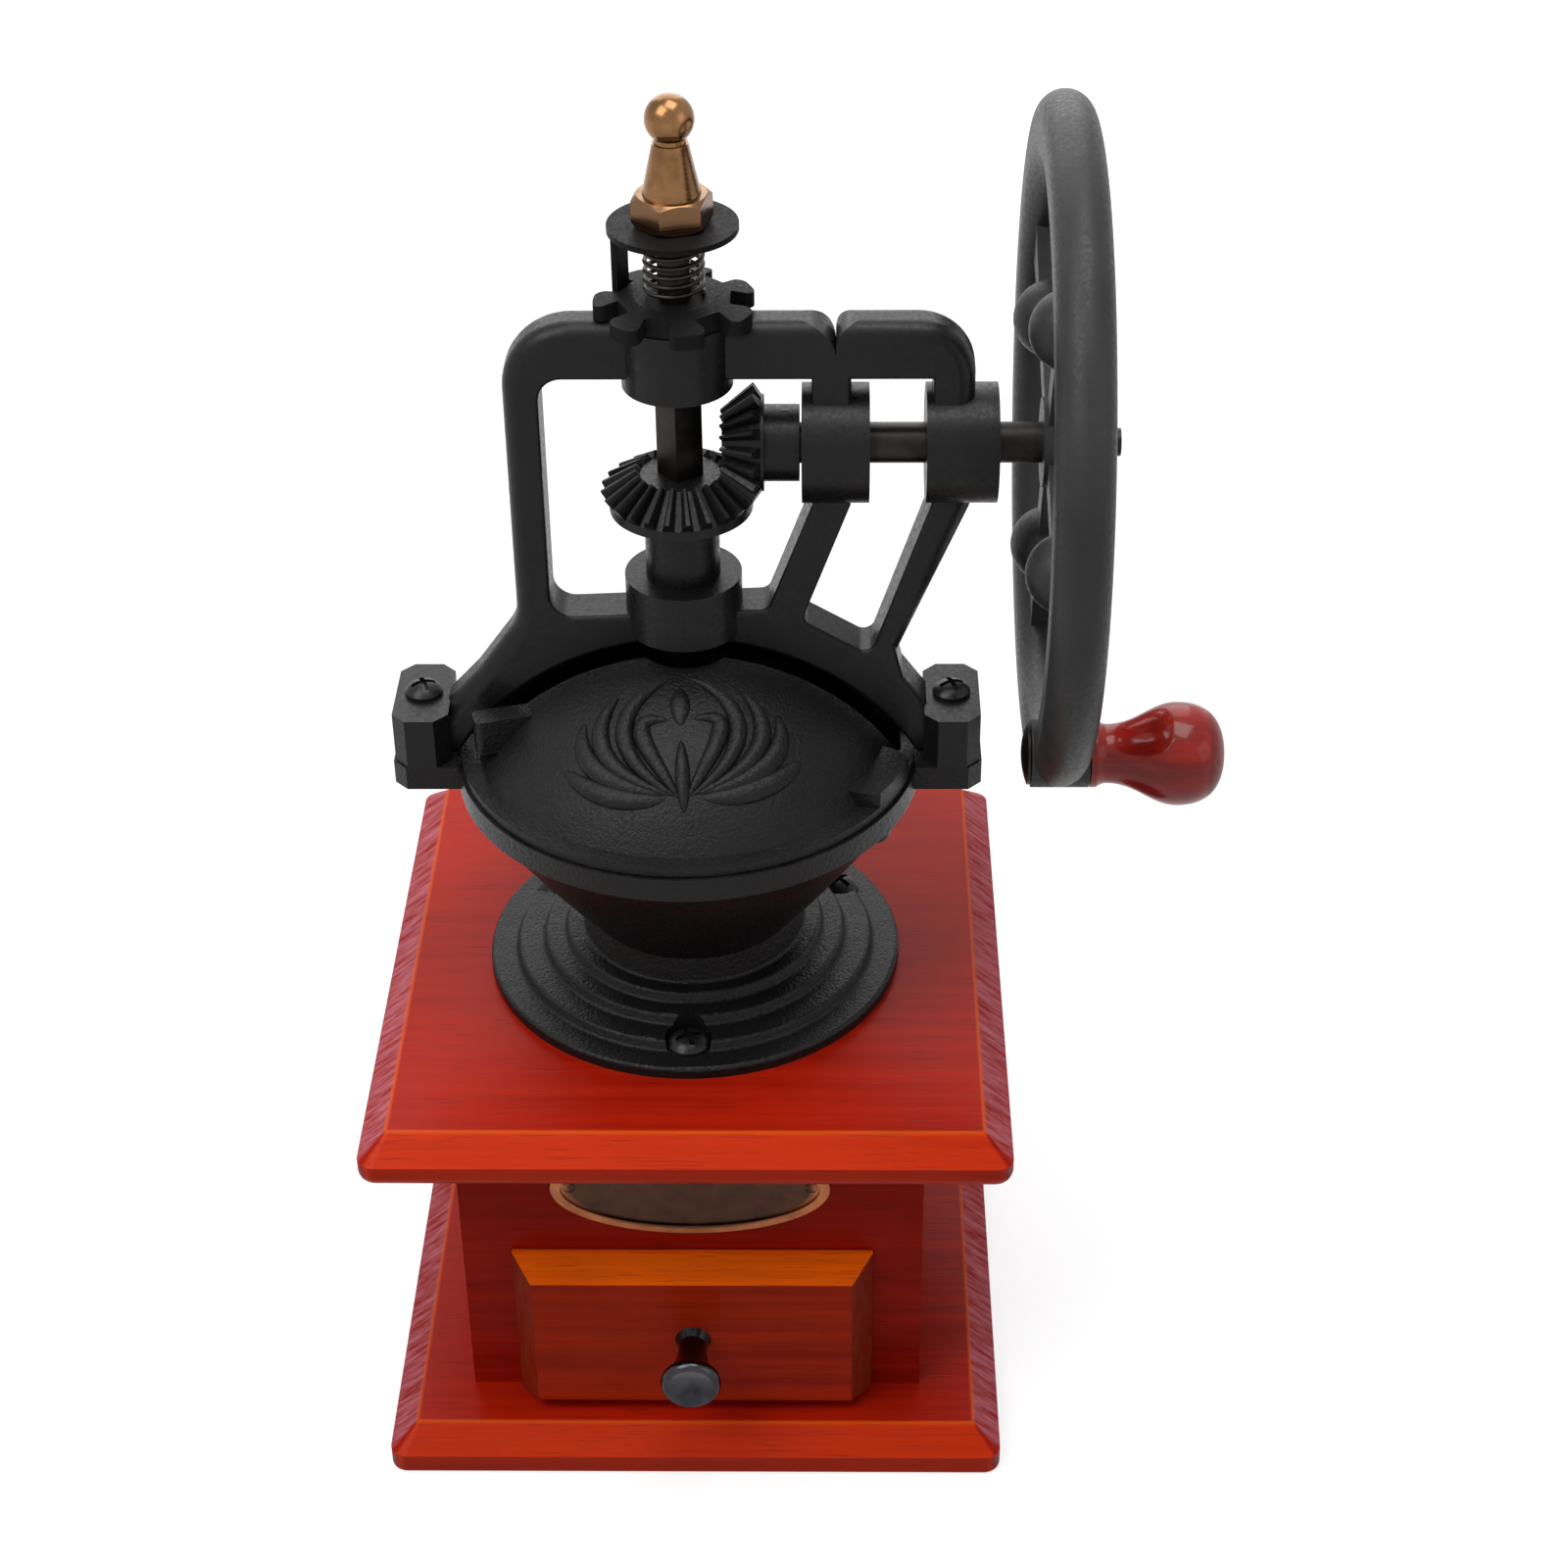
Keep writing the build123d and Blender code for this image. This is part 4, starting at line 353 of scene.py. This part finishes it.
def palmette_leaf(shape, spine, side, width, relief):
    """One rounded leaf: a ball drawn out along its spine and sunk into the dome."""
    ball = bmesh.ops.create_uvsphere(shape, u_segments=20, v_segments=22, radius=1.0)["verts"]
    foot, lower, upper, tip = [Vector((x * side, y)) for x, y in spine]
    turn = Matrix.Rotation(PALMETTE_TURN, 2)
    for vert in ball:
        across, height, reach = vert.co
        t = (reach + 1) / 2
        rest = 1 - t
        middle = foot * rest ** 3 + lower * (3 * t * rest ** 2) + upper * (3 * t * t * rest) + tip * t ** 3
        heading = (lower - foot) * rest ** 2 + (upper - lower) * (2 * t * rest) + (tip - upper) * t * t
        heading.normalize()
        # The leaf is widest past its middle and rises towards its tip
        taper = 0.45 + 0.55 * math.sin(math.pi * min(1.0, 0.12 + 0.62 * t))
        flat = middle + Vector((heading.y, -heading.x)) * (across * width / 2 * taper)
        lift = relief * height * (0.7 + 0.3 * t) if height > 0 else LEAF_ROOT * height
        turned = turn @ flat
        lean = PALMETTE_TILT - turned.y * MM / DOME_R
        aside = turned.x * MM / DOME_R
        outward = Vector((math.sin(aside), -math.cos(aside) * math.sin(lean),
                          math.cos(aside) * math.cos(lean)))
        vert.co = DOME_CENTRE + outward * (DOME_R + (lift - LEAF_SUNK) * MM)


shape = bmesh.new()
for spine, width, relief in leaves:
    palmette_leaf(shape, spine, 1, width, relief)
    in_pairs = spine[1][0] > 0
    if in_pairs:
        palmette_leaf(shape, spine, -1, width, relief)
bmesh.ops.recalc_face_normals(shape, faces=shape.faces)
palmette = stand("palmette", shape, cast_iron)
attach(palmette, "lid")

# The spring stands on the dial and rides with the gear
shape = bmesh.new()
shape.from_mesh(nodes["adjuster_spring"].data)
bmesh.ops.remove_doubles(shape, verts=shape.verts, dist=0.002 * MM)
coil = stand("wound_spring", shape, dark_steel)
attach(coil, "gear")
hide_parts("adjuster_spring")
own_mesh(coil)


def directly_seen(owner):
    """One for what the camera sees, also in a reflection or through glass, and nothing for other light."""
    path = add(owner, "ShaderNodeLightPath").outputs
    seen = reckon(owner, "MAXIMUM", path["Is Camera Ray"], path["Is Glossy Ray"])
    return reckon(owner, "MAXIMUM", seen, path["Is Transmission Ray"])


# Studio floor. The lamps fade out away from the mill, so there it glows more and stays white to its edge.
FLOOR_HALF = 6.0
floor_paint, floor_shader, floor_place = begin("white_floor", Base_Color=linear("#9C9C9C"), Roughness=0.9)
away = add(floor_paint, "ShaderNodeVectorMath", {0: floor_place}, operation="LENGTH").outputs["Value"]
glow_level = band(floor_paint, away, 0.4, 1.2, 0.72, 1.0)
glow = add(floor_paint, "ShaderNodeEmission", {"Color": WHITE, "Strength": glow_level}).outputs[0]
lit = floor_shader.outputs[0]
bright = add(floor_paint, "ShaderNodeAddShader", {0: lit, 1: glow}).outputs[0]
seen = directly_seen(floor_paint)
floor_look = add(floor_paint, "ShaderNodeMixShader", {0: seen, 1: lit, 2: bright}).outputs[0]
feed(floor_paint, floor_paint.node_tree.nodes["Material Output"], Surface=floor_look)
shape = bmesh.new()
bmesh.ops.create_grid(shape, x_segments=1, y_segments=1, size=FLOOR_HALF)
floor = stand("floor", shape, floor_paint)

# The sky looks white and lights the mill weakly
world = bpy.data.worlds.new("studio")
bpy.context.scene.world = world
world.use_nodes = True
sky = world.node_tree.nodes["Background"]
sky.inputs["Color"].default_value = WHITE
sky_level = band(world, directly_seen(world), start=0.25, end=1.0)
feed(world, sky, Strength=sky_level)

LAMP_AIM = Vector((0, 0, 0.15))


def lamp(name, spot, size, watts):
    """A square soft box that faces the mill."""
    data = bpy.data.lights.new(name, "AREA")
    data.shape = "SQUARE"
    data.size = size
    data.energy = watts
    box = bpy.data.objects.new(name, data)
    box.location = spot
    box.rotation_euler = (LAMP_AIM - Vector(spot)).to_track_quat("-Z", "Y").to_euler()
    bpy.context.scene.collection.objects.link(box)


# A soft box high at the front left, one overhead, a weak one at the right and a wide one behind
lamp("key", (-0.55, -0.42, 1.1), 0.7, 8.0)
lamp("top", (0.14, -0.05, 1.35), 0.7, 8.5)
lamp("fill", (0.9, -0.5, 0.6), 0.6, 1.0)
lamp("back", (-0.1, 1.0, 0.85), 1.1, 7.0)

# Camera, worked out from the plates' corners in the photograph
CAMERA_SPOT = (0.0313, -0.5565, 0.535)
PITCH = math.radians(34.72)
YAW = math.radians(-1.01)
ROLL = math.radians(-0.57)
FOCAL_PIXELS = 3014.1
PHOTO_PIXELS = 1600
SENSOR_WIDTH = 36.0
forward = Vector((math.sin(YAW) * math.cos(PITCH), math.cos(YAW) * math.cos(PITCH), -math.sin(PITCH)))
level = Vector((math.cos(YAW), -math.sin(YAW), 0))
upward = level.cross(forward)
right = level * math.cos(ROLL) + upward * math.sin(ROLL)
up = upward * math.cos(ROLL) - level * math.sin(ROLL)
lens = bpy.data.cameras.new("camera")
lens.sensor_fit = "HORIZONTAL"
lens.sensor_width = SENSOR_WIDTH
lens.lens = FOCAL_PIXELS * SENSOR_WIDTH / PHOTO_PIXELS
lens.clip_start = 0.01
lens.clip_end = 50.0
camera = bpy.data.objects.new("camera", lens)
turn = Matrix((right, up, -forward)).transposed().to_4x4()
camera.matrix_world = Matrix.Translation(CAMERA_SPOT) @ turn
bpy.context.scene.collection.objects.link(camera)
bpy.context.scene.camera = camera
bpy.context.scene.view_settings.view_transform = "Standard"

bpy.context.view_layer.update()
